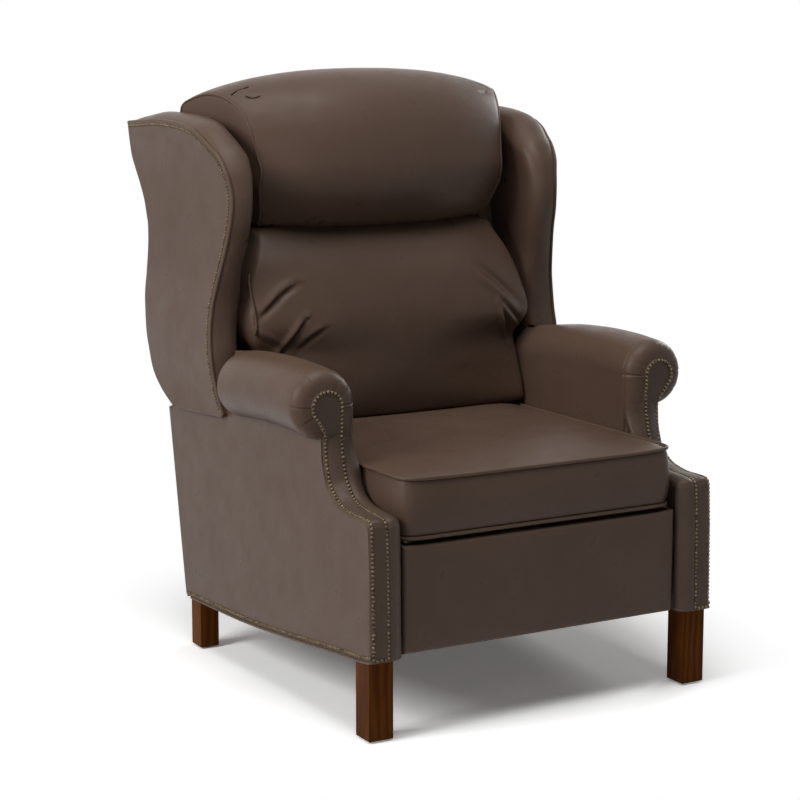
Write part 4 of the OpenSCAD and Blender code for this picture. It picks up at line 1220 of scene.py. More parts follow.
@dataclass
class Wing(SidePart):
    """One wing: its outside panel, its padded roll and inside, welt and nails.

    Attributes:
        front: Front edge, as (across, back, up) from the hem to the top corner.
        rear: Rear edge, as (back, up) from the hem to the tip.
        top: Top edge, as (back, up) from the tip to the top corner.
        half: Outer face at the rear.
        shell: Thickness of the outside panel.
        thickness: Thickness of the wing with its pad.
        nails: Nails along the front and the top.
        welt: Radius of the welt.
        lowest: Lowest height at which the faces are read off the front edge.
        highest: Highest such height.
    """

    front: Knots = (
        (374.6, 541.5, 488), (380, 548, 516), (385, 556, 552), (389, 562, 597), (387, 569, 638),
        (382, 569, 685), (376, 563, 722), (365, 542.5, 797), (361, 529, 844), (359, 524, 885),
        (361, 528, 916), (366, 537, 943), (370.5, 556, 968), (376, 582, 985), (381, 606, 1000),
        (383, 632, 1012),
    )
    rear: Knots = (
        (745, 477), (797, 503), (834, 534), (852, 571), (865, 610), (869, 669), (865.5, 699),
        (857.5, 730), (848, 780), (847, 819), (852, 838), (863, 868), (881, 897), (902, 925),
        (920, 951), (930, 981), (938, 1014),
    )
    top: Knots = (
        (938, 1016), (900, 1019), (866, 1021), (813, 1025), (751, 1025), (691, 1022),
        (650, 1016.5), (632, 1012),
    )
    half: float = 386.0
    shell: float = 8.0
    thickness: float = 54.0
    nails: Nailing = field(default_factory=lambda: Nailing(6.2, 2.8, 2.4))
    welt: float = 3.4
    lowest: float = 484.0
    highest: float = 1012.0
    body: ClassVar[Body] = Body.BACK

    def front_line(self) -> Array:
        """The front edge seen from the side, as (back, up)."""
        return smooth_curve([knot[1:] for knot in self.front], 130)

    def outer_face(self, back: Array, up: Array) -> Array:
        """Across length of the outside panel: straight between the front edge and the rear
        edge at the same height.

        Args:
            back: Depths.
            up: Heights.

        Returns:
            Across length at each place.
        """
        edge = smooth_curve(self.front, 300)
        rear = smooth_curve(self.rear, 300)
        x = np.interp(up, edge[:, 2], edge[:, 0])
        y = np.interp(up, edge[:, 2], edge[:, 1])
        end = np.interp(up, rear[:, 1], rear[:, 0])
        return x + (self.half - x) * np.clip((back - y) / np.maximum(end - y, 1), 0, 1)

    def outline(self) -> Array:
        """The outside panel's outline, as (back, up): up the front, back along the top, down
        the rear and forwards along the hem."""
        hem = [
            (745, 477), (690, 476.5), (620, 479), (575, 481), (552, 481.8), (544, 484.2), (541.5, 488),
        ]
        lines = (
            self.front_line(), smooth_curve(self.top[::-1], 60), smooth_curve(self.rear[::-1], 120),
            smooth_curve(hem, 54),
        )
        return np.concatenate([line[:-1] for line in lines])

    def outside(self) -> None:
        """The outside panel."""
        self.panel("wing_outside", PaddedPanel(
            self.outline(), self.shell, 2.4,
            lambda u, v, w: np.stack([self.outer_face(u, v) - self.shell + w, u, v], -1),
            middle=(702, 752),
        ), "wing_shell", 0.3)

    def inner_face(self, back: Array, up: Array) -> Array:
        """Across length of the padded inner face: a thickness inside the front edge, turning
        in behind the nose to run beside the back post.

        Args:
            back: Depths.
            up: Heights.

        Returns:
            Across length at each place.
        """
        edge = smooth_curve(self.front, 400)
        x = np.interp(up, edge[:, 2], edge[:, 0]) - self.thickness + 1
        x = x - 13 * ease((775 - up) / 90) - 23 * ease((up - 885) / 115)
        y = np.interp(up, edge[:, 2], edge[:, 1])
        post = plane_of_back(up, 640.5)
        return x + (318.6 - x) * ease((back - y - 24) / np.maximum(post - 8 - y - 24, 30))

    def pad(self) -> None:
        """The padded wing in one skin: out from the welt, over the nose, round to the inner
        face and in to the middle of that face. It is crowned along the top, and tucked in flat
        along the rear and the hem."""
        front = self.front_line()[:-1]
        top = smooth_curve(self.top[::-1], 70)[:-1]
        rear = smooth_curve(self.rear[::-1], 120)[1:-1] - np.array([9.0, 0.0])
        hem = smooth_curve([(734, 486), (690, 485), (620, 486), (560, 488)], 44)[:-1]
        loop = np.concatenate([front, top, rear, hem])
        tip = np.sin(np.pi / 2 * np.clip((941 - top[:, 0]) / 150, 0, 1))
        none = np.zeros(len(rear) + len(hem))
        bulge = np.concatenate([5 + 11 * ease((front[:, 1] - 950) / 62), 5 + 11 * tip, none])
        soft = np.concatenate([np.full(len(front), 24.0), 3 + 21 * tip, none + 3.0])
        keep = np.linalg.norm(loop - np.roll(loop, 1, 0), axis=1) > 0.6
        loop, bulge, soft = loop[keep], bulge[keep], soft[keep]
        if signed_area(loop) < 0:
            loop, bulge, soft = loop[::-1], bulge[::-1], soft[::-1]
        bell = np.exp(-((np.arange(-9, 10) / 4.0) ** 2))
        bulge, soft = (
            np.convolve(np.concatenate([v[-9:], v, v[:9]]), bell / bell.sum(), "valid")
            for v in (bulge, soft)
        )
        inward = plane_normals(loop, True)
        inward = sum(np.roll(inward, k, 0) for k in range(-3, 4))
        inward /= np.linalg.norm(inward, axis=1, keepdims=True)
        middle = np.array([735.0, 740.0])
        turn = np.radians(np.concatenate([np.linspace(-75, -10, 6), np.linspace(0, 90, 12)]))
        rings = []
        for a in turn:
            level = 1 - math.cos(a)
            below = (bulge + 0.6) * level / (1 - math.cos(turn[0]))
            plan = loop + inward * ((below if a < 0 else (soft + bulge) * level) - bulge)[:, None]
            outer = self.outer_face(plan[:, 0], np.clip(plan[:, 1], self.lowest, self.highest))
            deep = outer - self.crowned(plan)
            depth = (deep + 4) / 2 + (deep - 4) / 2 * math.sin(a)
            rings.append(upright(outer - depth, plan))
        plans = [middle + (rings[0][:, 1:] - middle) * k for k in (0.03, 0.2, 0.4, 0.6, 0.8, 0.95)]
        back_cap = [upright(self.outer_face(q[:, 0], q[:, 1]) - 5, q) for q in plans]
        rim = loop + inward * (soft + 1.5)[:, None]
        plans = [middle + (rim - middle) * k for k in (1.0, 0.9, 0.75, 0.6, 0.45, 0.3, 0.15, 0.03)]
        face = [upright(self.crowned(q), q) for q in plans]
        self.skin("wing_inside", np.stack(back_cap + rings + face), "wing_pad", 0.7)

    def crowned(self, plan: Array) -> Array:
        """Across length of the inner face at a plan of (back, up), held above and below."""
        return self.inner_face(plan[:, 0], np.clip(plan[:, 1], self.lowest, self.highest))

    def lip(self) -> None:
        """The leather drawn round the front of the back post, behind the cushions."""
        up = np.linspace(560, 992, 30)
        face = plane_of_back(up, 640.5)
        corners = [(322, -9), (319, -12), (300, -12), (262, -9), (256, -4), (256, 3), (322, 3)]
        rings = np.stack([np.stack([np.full(30, x), face + b, up], 1) for x, b in corners], 1)
        self.skin("wing_lip", rings)

    def trim(self) -> None:
        """The welt along the front and the top, and the nails inside it."""
        edge = np.concatenate([self.front_line()[:-1], smooth_curve(self.top[::-1], 60)])
        inward = plane_normals(edge, False)
        if inward[20, 0] < 0:
            inward = -inward
        welt = edge + inward * 0.5
        x = self.outer_face(welt[:, 0], welt[:, 1]) - self.shell * 0.42
        self.welt_line("wing_welt", upright(x, welt), self.welt)
        row = (edge + inward * 8.0)[3:-2]
        spots = upright(self.outer_face(row[:, 0], row[:, 1]) + 0.1, row)
        self.nail_row("wing_nails", spots, np.array([1.0, 0.0, 0.0]))
        rear = smooth_curve(self.rear, 140)
        line = np.stack([np.full(140, self.half - 4.5), rear[:, 0] - 0.5, rear[:, 1]], 1)
        self.welt_line("wing_rear_welt", line, self.welt - 0.4)

    def build(self) -> None:
        """Builds the whole wing."""
        self.outside()
        self.pad()
        self.lip()
        self.trim()


@dataclass
class OutsideBack:
    """The rear of the chair: outside back, crest and the panel under it.

    Attributes:
        half: Half the width of the outside back.
        apron_half: Half its width between the sides.
        crest_half: Half the width of the crest.
        thickness: Thickness of the outside back.
    """

    half: float = 377.0
    apron_half: float = 321.0
    crest_half: float = 317.0
    thickness: float = 9.0

    def profile(self) -> Array:
        """Side view of the outside back, as (back, up), from its foot to the tips."""
        return smooth_curve([(776, 402), (778, 440), (781, 462), (803, 497), *Wing.rear[2:]], 120)

    def panel(self) -> None:
        """The outside back: its side view carried across, a little fuller in the middle, and
        narrower where it passes between the sides."""
        line = self.profile()
        normal = plane_normals(line, False)
        if normal[60, 0] < 0:
            normal = -normal
        half = self.apron_half + (self.half - self.apron_half) * ease((line[:, 1] - 526) / 9)
        share = np.linspace(-1, 1, 41)
        swell = 3.5 * (1 - share**2)[None] * np.sin(np.linspace(0, np.pi, 120))[:, None]
        edge = 3.0 * np.clip((np.abs(share) - 0.985) / 0.015, 0, 1) ** 2
        ends = 3.0 * (1 - np.sqrt(1 - np.clip(1 - np.arange(120) / 3.0, 0, 1) ** 2))
        ends = ends + ends[::-1]
        out = -0.8 + swell - edge[None] - ends[:, None]
        inside = -self.thickness + 0.2 * swell
        x = half[:, None] * share[None]

        def face(offset: Array) -> Array:
            """Points of one face at an offset along the normals."""
            return upright(x, line[:, None] + normal[:, None] * offset[..., None])

        rings = np.concatenate([face(out), face(inside)[:, ::-1]], axis=1)
        piece = loft("outside_back_panel", rings)
        dress(piece, LEATHER, Body.BACK, ("outside_back",))

    def crest(self) -> None:
        """The padded top of the back between the wings, behind the bolster."""
        ring = smooth_curve([
            (764, 999), (800, 1028), (845, 1049), (874, 1053), (905, 1043), (925, 1028), (929, 1010),
            (900, 1000), (830, 998),
        ], 60, closed=True)
        ends = np.array([0.95, 0.975, 0.99, 0.998, 1.0])
        share = np.concatenate([-ends[::-1], np.linspace(-0.9, 0.9, 31), ends])
        middle = np.array([850.0, 1012.0])
        shrink = np.array([0.5, 0.75, 0.9, 0.97, 0.995])
        scale = np.concatenate([shrink, np.ones(31), shrink[::-1]])
        plan = middle + (ring - middle)[None] * scale[:, None, None]
        above = np.maximum(plan[..., 1] - 1012.0, 0.0)
        plan[..., 1] -= above * 0.62 * (share**4)[:, None]
        x = np.broadcast_to(self.crest_half * share[:, None], plan.shape[:2])
        piece = loft("back_crest_pad", upright(x, plan))
        dress(piece, LEATHER, Body.BACK, ("back_crest",))

    def base_rear(self) -> None:
        """The panel across the rear of the base, and its welt."""
        board = CrownedBoard(329.5, (736.5, 95.0), (55.5, 317.0), 15.0, 3.0, 3.0)
        piece = board.build("base_rear_panel")
        dress(piece, LEATHER, Body.BASE, ("rear_panel",))
        x = np.linspace(-364, 364, 60)
        line = np.stack([x, np.full(60, 735.5), np.full(60, 95.0)], 1)
        dress(tube("rear_hem_welt", line, 2.6), WELT, Body.BASE, ())

    def build(self) -> None:
        """Builds the rear of the chair."""
        self.panel()
        self.crest()
        self.base_rear()


@dataclass
class FootrestPad:
    """The padded footrest panel.

    Attributes:
        half: Half its width.
        low: Height of its lower edge.
        high: Height of its upper edge.
        front: Depth of its front face.
        thickness: Its thickness.
        swell: How far its padded face is set back at the edges.
    """

    half: float = 285.0
    low: float = 146.0
    high: float = 336.0
    front: float = 15.0
    thickness: float = 26.0
    swell: float = 2.5

    def build(self) -> None:
        """Builds the panel."""
        board = CrownedBoard(
            self.half, (self.front + self.swell, self.low), (0.0, self.high - self.low),
            self.swell - self.thickness, 3.0, 7.0,
        )
        piece = board.build("footrest_pad")
        dress(piece, LEATHER, Body.FOOTREST, ("footrest_panel",))


@dataclass
class Stuffing:
    """Swells a closed skin as stuffing does, with cloth under pressure.

    Attributes:
        voxel: Size of the remesh in millimetres.
        pressure: Pressure of the stuffing.
        cap: The furthest that a point may move, in millimetres.
        frames: Length of the simulation.
    """

    voxel: float = 6.0
    pressure: float = 4.0
    cap: float = 22.0
    frames: int = 20

    def fill(self, piece: Piece, held: Callable[[Array], Array]) -> None:
        """Remeshes the skin, holds its seams, swells it and caps how far each point moves.

        Args:
            piece: The closed skin, in place.
            held: Takes points as (across, back, up) and gives how firmly each is held, 0 to 1.
        """
        remesh = piece.modifiers.new("remesh", "REMESH")
        remesh.mode, remesh.voxel_size, remesh.use_smooth_shade = "VOXEL", self.voxel * MM, True
        self.apply(piece)
        start = self.points(piece)
        weight = np.clip(held(start), 0, 1)
        group = piece.vertex_groups.new(name="held")
        firm = np.round(weight * 20) / 20
        for value in np.unique(firm[firm > 0]):
            group.add(np.flatnonzero(firm == value).tolist(), float(value), "REPLACE")
        cloth = piece.modifiers.new("cloth", "CLOTH")
        cloth.settings.use_pressure = True
        cloth.settings.uniform_pressure_force = self.pressure
        cloth.settings.effector_weights.gravity = 0.0
        cloth.settings.vertex_group_mass = "held"
        cloth.settings.quality = 5
        cloth.point_cache.frame_start, cloth.point_cache.frame_end = 1, self.frames
        scene = bpy.context.scene
        for frame in range(1, self.frames + 1):
            scene.frame_set(frame)
        self.apply(piece)
        scene.frame_set(1)
        moved = self.points(piece) - start
        far = np.linalg.norm(moved, axis=1, keepdims=True)
        kept = start + moved * np.minimum(1.0, self.cap / np.maximum(far, 1e-6))
        self.put(piece, kept)
        piece.vertex_groups.clear()

    @staticmethod
    def finish(piece: Piece, passes: int = 2) -> None:
        """Relaxes the skin a little, adds one subdivision and shades it smooth.

        Args:
            piece: The skin.
            passes: Passes of the relaxation.
        """
        smooth = piece.modifiers.new("relax", "SMOOTH")
        smooth.factor, smooth.iterations = 0.5, passes
        Stuffing.apply(piece)
        fine = piece.modifiers.new("fine", "SUBSURF")
        fine.levels = fine.render_levels = 1
        Stuffing.apply(piece)
        piece.data.polygons.foreach_set("use_smooth", np.ones(len(piece.data.polygons), bool))

    @staticmethod
    def apply(piece: Piece) -> None:
        """Puts what the piece's modifiers make into its mesh and takes them away."""
        graph = bpy.context.evaluated_depsgraph_get()
        mesh = bpy.data.meshes.new_from_object(piece.evaluated_get(graph), depsgraph=graph)
        piece.modifiers.clear()
        piece.data = mesh

    @staticmethod
    def points(piece: Piece) -> Array:
        """The piece's vertices as (across, back, up) in millimetres."""
        flat = np.empty(len(piece.data.vertices) * 3)
        piece.data.vertices.foreach_get("co", flat)
        return flat.reshape(-1, 3) / MM - np.array([0.0, FRONT_PLANE, 0.0])

    @staticmethod
    def put(piece: Piece, points: Array) -> None:
        """Sets the piece's vertices from (across, back, up) in millimetres."""
        piece.data.vertices.foreach_set("co", to_frame(points).ravel())
        piece.data.update()


def profile(values: Array, knots: Sequence[tuple[float, float]]) -> Array:
    """Looks values up on the smooth curve through knots given as (value, result)."""
    line = smooth_curve(knots, 240)
    return np.interp(values, line[:, 0], line[:, 1])


def near_line(points: Array, line: Array) -> Array:
    """Distance from each point to the nearest point of a line, worked out in blocks.

    Args:
        points: The points.
        line: Points of the line.

    Returns:
        Distance of each point.
    """
    best = np.full(len(points), 1e9)
    for block in np.array_split(line, max(1, len(line) // 40)):
        gap = np.linalg.norm(points[:, None] - block[None], axis=2)
        best = np.minimum(best, gap.min(1))
    return best


@dataclass(frozen=True)
class Fold:
    """A fold pressed into a cushion: a valley with a soft ridge beside it.

    Attributes:
        line: Points of the fold, as (across, up).
        depth: Depth of the valley in millimetres.
        width: Half its width.
        ridge: Height of the ridge beside it.
    """

    line: tuple[tuple[float, float], ...]
    depth: float
    width: float
    ridge: float = 0.0

    def press(self, across: Array, up: Array) -> Array:
        """How far back the fold moves a point: a bell of the distance to its line, which
        fades out at both ends, less a wider bell on the upper side.

        Args:
            across: Across lengths.
            up: Heights.

        Returns:
            Move of each point.
        """
        line = smooth_curve(self.line, 50)
        flat = np.stack([across, up], 1)
        gap = flat[:, None] - line[None]
        length = np.linalg.norm(gap, axis=2)
        nearest = length.argmin(1)
        distance = length[np.arange(len(flat)), nearest]
        share = nearest / 49.0
        fade = np.sin(np.pi * np.clip(share, 0.04, 0.96)) ** 0.6
        tangent = np.gradient(line, axis=0)[nearest]
        offset = gap[np.arange(len(flat)), nearest]
        above = np.sign(tangent[:, 0] * offset[:, 1] - tangent[:, 1] * offset[:, 0])
        valley = self.depth * np.exp(-((distance / self.width) ** 2))
        beside = (distance * above - 1.8 * self.width) / (1.4 * self.width)
        return fade * (valley - self.ridge * np.exp(-(beside**2)))


@dataclass
class SeatCushion:
    """The boxed, crowned seat cushion with its welts.

    Attributes:
        half: Half its width.
        bottom: Height of its underside.
        top: Height of its top welt.
        front: Depth of its front.
        rear: Depth of its rear.
        crown: Crown above the top welt.
        stuffing: How it is filled.
    """

    half: float = 283.0
    bottom: float = 345.0
    top: float = 450.0
    front: float = 21.0
    rear: float = 572.0
    crown: float = 15.0
    stuffing: Stuffing = field(default_factory=lambda: Stuffing(6.0, 3.0, 16.0, 18))

    def plan(self, inset: Array, roundness: Array, count: int = 160) -> Array:
        """A superellipse seen from above, drawn in by an inset at each level.

        Args:
            inset: Inset at each level.
            roundness: The superellipse's exponent at each level.
            count: Points round it.

        Returns:
            Array of shape (levels, count, 2).
        """
        turn = (np.arange(count) + 0.5) * 2 * np.pi / count
        x = np.stack([signed_power(np.cos(turn), r) for r in roundness])
        x = x * (self.half - inset)[:, None]
        s = np.stack([(1 + signed_power(np.sin(turn), r)) / 2 for r in roundness])
        y = self.front + inset[:, None] + (self.rear - self.front - 2 * inset[:, None]) * s
        return np.stack([x, y], -1)

    def dip(self, across: Array) -> Array:
        """How far the front of the top welt sags in the middle."""
        return -4.0 * (1 - np.clip(across / self.half, -1, 1) ** 2)

    def welt_line(self, up: float) -> Array:
        """The line of a welt at a height, from above a rounded rectangle."""
        flat = self.plan(np.array([0.0]), np.array([0.1]), 400)[0]
        sag = self.dip(flat[:, 0]) * ease((300 - flat[:, 1]) / 250) if up > 400 else 0.0 * flat[:, 0]
        return resample(np.stack([flat[:, 0], flat[:, 1], up + sag], 1), 400, False)

    def build(self) -> None:
        """Builds the cushion and its two welts."""
        share = np.array([0, 0, 0, 0.0, 0.03, 0.12, 0.3, 0.5, 0.7, 0.88, 0.97, 1.0])
        inset = np.array([220, 120, 40, 6, 1, -1.5, -4, -5, -4, -1.5, 0, 1.0])
        a = np.linspace(0.06, 1, 16)
        crown_inset = (self.half - 6) * a**1.3
        crown_rise = self.crown * (1 - (1 - np.minimum(a * 1.9, 1)) ** 2)
        insets = np.concatenate([inset, crown_inset])
        wall = self.bottom + (self.top - self.bottom) * share
        ups = np.concatenate([wall, self.top + crown_rise])
        roundness = np.interp(insets, [0, 60, 220], [0.1, 0.26, 0.55])
        flat = self.plan(insets, roundness)
        sag = self.dip(flat[..., 0]) * ease((300 - flat[..., 1]) / 250)
        sag = sag * ease((ups - 380) / 60)[:, None]
        rings = np.concatenate([flat, (ups[:, None] + sag)[..., None]], -1)
        piece = loft("seat_cushion_pad", rings)
        top, low = self.welt_line(self.top), self.welt_line(self.bottom + 2)

        def held(points: Array) -> Array:
            """The welts and the underside are held."""
            near = np.minimum(near_line(points, top), near_line(points, low))
            return ((near < 7) | (points[:, 2] < self.bottom + 4)).astype(float)

        self.stuffing.fill(piece, held)
        points = Stuffing.points(piece)
        points[:, 2] = np.maximum(points[:, 2], self.bottom)
        Stuffing.put(piece, points)
        Stuffing.finish(piece, 3)
        dress(piece, LEATHER, Body.SEAT, ("seat_cushion",))
        for name, line, lift in (("seat_welt_top", top, 1.0), ("seat_welt_bottom", low, 0.0)):
            out = line + np.array([0, 0, lift])
            dress(tube(name, out, 3.4, closed=True), WELT, Body.SEAT, ())


@dataclass
class BackCushion:
    """The back cushion, with ears over the arms and folds gathered to them.

    Attributes:
        stuffing: How it is filled.
    """

    stuffing: Stuffing = field(default_factory=lambda: Stuffing(5.5, 3.0, 18.0, 18))

    @staticmethod
    def plane(up: Array) -> Array:
        """Depth at a height of the plane that the cushion leans on."""
        return plane_of_back(up, 640.2)

    def outline(self) -> Array:
        """Front view of the cushion, as (across, up)."""
        right = [
            (140, 457), (280, 459), (290.5, 478), (290.5, 560), (291, 596), (309, 620), (319, 650),
            (312, 690), (300, 730), (285, 765), (268, 800), (250, 826), (130, 838),
        ]
        left = [(-x, z) for x, z in right[::-1]]
        return smooth_curve(right + left, 260, closed=True)

    @staticmethod
    def edge_depth(up: Array) -> Array:
        """Thickness of the cushion at its seam, by height: fullest at the ears and where it
        stands on the seat."""
        return profile(up, (
            (455, 100), (472, 119), (540, 111), (588, 102), (616, 115), (645, 126), (700, 125),
            (757, 122), (790, 112), (838, 86),
        ))

    @staticmethod
    def crown(up: Array) -> Array:
        """How far the middle of the face stands out past its seam, by height."""
        return profile(up, (
            (455, 4), (490, 7), (540, 22), (588, 39), (616, 34), (645, 28), (730, 27), (790, 20),
            (838, 16),
        ))

    def folds(self) -> tuple[Fold, ...]:
        """Folds of both sides, which rise from the ears and the tops of the arms."""
        left = (
            (((-292, 660), (-268, 680), (-240, 704), (-208, 722)), 6.5, 6.0, 4.0),
            (((-250, 584), (-232, 612), (-214, 638), (-200, 656)), 7.0, 5.0, 6.5),
            (((-214, 600), (-192, 620), (-162, 638)), 3.2, 5.0, 2.6),
            (((-304, 634), (-274, 616), (-246, 600)), 3.5, 5.0, 2.4),
        )
        right = (
            (((292, 652), (262, 680), (226, 712), (190, 738)), 6.0, 8.0, 4.5),
            (((266, 584), (252, 622), (238, 658)), 5.5, 5.0, 5.5),
            (((292, 616), (266, 640), (240, 668)), 4.0, 5.0, 4.0),
        )
        return tuple(Fold(*f) for f in left + right)

    def build(self) -> None:
        """Builds the cushion: rings from the back face round the edge to the crowned front."""
        outline = self.outline()
        middle = np.array([0.0, 640.0])
        depth = np.array([0, 0, 0.03, 0.15, 0.4, 0.7, 0.9, 1.0])
        inset = np.array([0.6, 0.08, 0.045, 0.02, 0.004, 0.0, 0.004, 0.02])
        a = np.linspace(0.05, 1, 18)
        insets = np.concatenate([inset, 0.02 + 0.95 * a**1.15])
        shares = np.concatenate([depth, np.ones(18)])[:, None]
        fullness = np.concatenate([np.zeros(8), np.sin(np.pi / 2 * np.minimum(1, a * 1.5))])[:, None]
        flat = middle + (outline - middle)[None] * (1 - insets)[:, None, None]
        up = flat[..., 1]
        y = self.plane(up) - self.edge_depth(up) * shares - self.crown(up) * fullness
        y += self.ear_slant(flat[..., 0], up)
        rings = np.stack([flat[..., 0], y, flat[..., 1]], -1)
        piece = loft("back_cushion_pad", rings)
        seam_plan = middle + (outline - middle) * 0.985
        seam_y = self.plane(seam_plan[:, 1]) - self.edge_depth(seam_plan[:, 1]) * 0.97
        seam_y += self.ear_slant(seam_plan[:, 0], seam_plan[:, 1])
        seam = np.stack([seam_plan[:, 0], seam_y, seam_plan[:, 1]], 1)

        def held(points: Array) -> Array:
            """The seam round the face and the back face are held."""
            behind = points[:, 1] > self.plane(points[:, 2]) - 6
            return ((near_line(points, seam) < 6.5) | behind).astype(float)

        self.stuffing.fill(piece, held)
        Stuffing.finish(piece, 3)
        points = Stuffing.points(piece)
        front = ease((self.plane(points[:, 2]) - 60 - points[:, 1]) / 30)
        push = sum(f.press(points[:, 0], points[:, 2]) for f in self.folds())
        points[:, 1] += push * front
        Stuffing.put(piece, points)
        dress(piece, LEATHER, Body.BACK, ("back_cushion",))
        self.ear_welt(Stuffing.points(piece))

    @staticmethod
    def ear_welt(points: Array) -> None:
        """The welt of the left ear, laid on the foremost of the cushion's points near its line.

        Args:
            points: The cushion's vertices.
        """
        line = smooth_curve([(-297, 745), (-300, 712), (-297, 660), (-300, 632)], 50)
        far = np.linalg.norm(points[None, :, ::2] - line[:, None], axis=2)
        y = np.where(far < far.min(1, keepdims=True) + 5, points[None, :, 1], 1e4).min(1)
        y = np.convolve(np.pad(y, 3, "edge"), np.ones(7) / 7, "valid")
        welt = tube("back_cushion_welt_left", np.stack([line[:, 0], y, line[:, 1]], 1), 2.0)
        dress(welt, WELT, Body.BACK, ())

    @staticmethod
    def ear_slant(across: Array, up: Array) -> Array:
        """How far the boxing of the left ear falls back outside its welt."""
        return 34 * ease((-across - 292) / 30) * ease((up - 596) / 24) * ease((808 - up) / 40)


@dataclass
class HeadBolster:
    """The head bolster: a fat roll that is fullest in its middle, with slanting boxed ends that
    spread over the wings.

    Attributes:
        end_loop: Seam round an end, as (back, up).
        middle_loop: Side view at the middle, as (back, up), matched to the seam by point.
        swell: How squarely the fullness falls off towards the ends.
        dome: How far the end panels stand out.
        stuffing: How it is filled.
    """

    end_loop: Knots = (
        (680, 825), (641, 829), (614, 853), (594, 896), (584, 932), (592, 962), (600, 990),
        (609, 1018), (628, 1046), (662, 1068), (700, 1077), (740, 1070), (772, 1050), (766, 1000),
        (742, 930), (722, 860),
    )
    middle_loop: Knots = (
        (680, 821), (622, 820), (580, 838), (552, 880), (541, 925), (543, 962), (550, 1000),
        (565, 1038), (596, 1082), (645, 1113), (700, 1122), (758, 1110), (802, 1070), (776, 1010),
        (742, 930), (722, 860),
    )
    swell: float = 2.4
    dome: float = 9.0
    stuffing: Stuffing = field(default_factory=lambda: Stuffing(6.0, 3.0, 8.0, 16))

    @staticmethod
    def half(back: Array, up: Array) -> Array:
        """Half the length: above, the ends slant outwards to the rear; below, they draw in."""
        slant = 0.42 * (back - 585) * ease((up - 880) / 90)
        return np.clip(267.5 + slant + 0.25 * np.minimum(up - 900, 0), 248, 352)

    def ring(self, share: float, count: int = 150) -> Array:
        """The cross-section at a share of the half length: the seam loop and the middle loop
        mixed by one less a power of the share.

        Args:
            share: Share of the half length, from -1 at the left end to 1 at the right.
            count: Least number of points round it.

        Returns:
            Points of the cross-section.
        """
        full = (1 - abs(share) ** self.swell) ** 0.85
        loops = [
            smooth_curve(loop, 480, closed=True)[::480 // count]
            for loop in (self.end_loop, self.middle_loop)
        ]
        flat = loops[0] + (loops[1] - loops[0]) * full
        seam = loops[0] + 0.35 * (flat - loops[0])
        x = share * self.half(seam[:, 0], seam[:, 1])
        return np.stack([x, flat[:, 0], flat[:, 1]], 1)

    def build(self) -> None:
        """Builds the bolster, presses its gathers and sets the welts round its ends."""
        shares = np.sin(np.linspace(-np.pi / 2, np.pi / 2, 61))
        body = np.stack([self.ring(float(k)) for k in shares])
        scale = np.array([0.05, 0.3, 0.55, 0.75, 0.88, 0.96])
        caps = []
        for end in (0, -1):
            centre = body[end].mean(0)
            sign = -1.0 if end == 0 else 1.0
            cap = centre + (body[end] - centre)[None] * scale[:, None, None]
            cap[..., 0] += sign * self.dome * (1 - scale**2)[:, None]
            caps.append(cap)
        rings = np.concatenate([caps[0], body, caps[1][::-1]])
        piece = loft("head_bolster_pad", rings)
        seams = np.concatenate([body[0], body[-1]])

        def held(points: Array) -> Array:
            """The end seams and the back are held."""
            behind = points[:, 1] > BackCushion.plane(points[:, 2]) - 8
            return ((near_line(points, seams) < 6.5) | behind).astype(float)

        self.stuffing.fill(piece, held)
        Stuffing.finish(piece, 3)
        points = Stuffing.points(piece)
        points[:, 2] -= self.gathers(points)
        points[:, 2] = np.minimum(points[:, 2], 1124)
        Stuffing.put(piece, points)
        dress(piece, LEATHER, Body.BACK, ("head_bolster",))
        # Painted shade: black tubes in the creases of the left gathers.
        self.crease_lines(piece, points)
        for side, line in ((Side.LEFT, body[0]), (Side.RIGHT, body[-1])):
            end = points[points[:, 0] * side.value > 225]
            near = end[np.linalg.norm(line[:, None] - end[None], axis=2).argmin(1)] - line
            wrapped = np.concatenate([near[-6:], near, near[:6]])
            near = np.stack([np.convolve(v, np.ones(13) / 13, "valid") for v in wrapped.T], 1)
            out = line + near + np.array([side.value * 0.3, 0, 0])
            welt = tube(f"bolster_welt_{side.label}", out, 2.2, closed=True)
            dress(welt, WELT, Body.BACK, ())

    @staticmethod
    def crease_lines(piece: Piece, points: Array) -> None:
        """Dark lines in the left end's two gathers, dropped on to the bolster from above: thin black
        tubes that are painted shade in the creases.

        Args:
            piece: The bolster.
            points: Its vertices.
        """
        faces = [tuple(face.vertices) for face in piece.data.polygons]
        surface = BVHTree.FromPolygons(points.tolist(), faces)
        plans = ((-289, 664), (-270, 670), (-252, 664)), ((-267, 646), (-257, 638), (-244, 633))
        for number, plan in enumerate(plans, 1):
            flat = smooth_curve(plan, 24)
            top = [surface.ray_cast((*at, 1200.0), (0.0, 0.0, -1.0))[0].z for at in flat.tolist()]
            line = np.concatenate([flat, np.array(top)[:, None] + 1.2], 1)
            # Each tube is painted shade laid in a gather's crease.
            dress(tube(f"bolster_gather_left_{number}", line, 1.0), LINING_AND_CREASE_SHADE, Body.BACK)

    @staticmethod
    def gathers(points: Array) -> Array:
        """Depth of the short gathers by the ends of the top: bells of the distance to short
        lines in plan, on both sides.

        Args:
            points: The bolster's vertices.

        Returns:
            Depth at each vertex.
        """
        depth = np.zeros(len(points))
        above = points[:, 2] > 1020
        plan = np.stack([np.abs(points[above, 0]), points[above, 1]], 1)
        for line in (((290, 664), (270, 670), (251, 664)), ((268, 646), (257, 638), (243, 633))):
            gap = np.linalg.norm(plan[:, None] - smooth_curve(line, 40)[None], axis=2)
            along = gap.argmin(1) / 39.0
            fade = np.sin(np.pi * np.clip(along, 0.03, 0.97)) ** 0.5
            depth[above] += 4.2 * np.exp(-((gap.min(1) / 2.6) ** 2)) * fade
        return depth


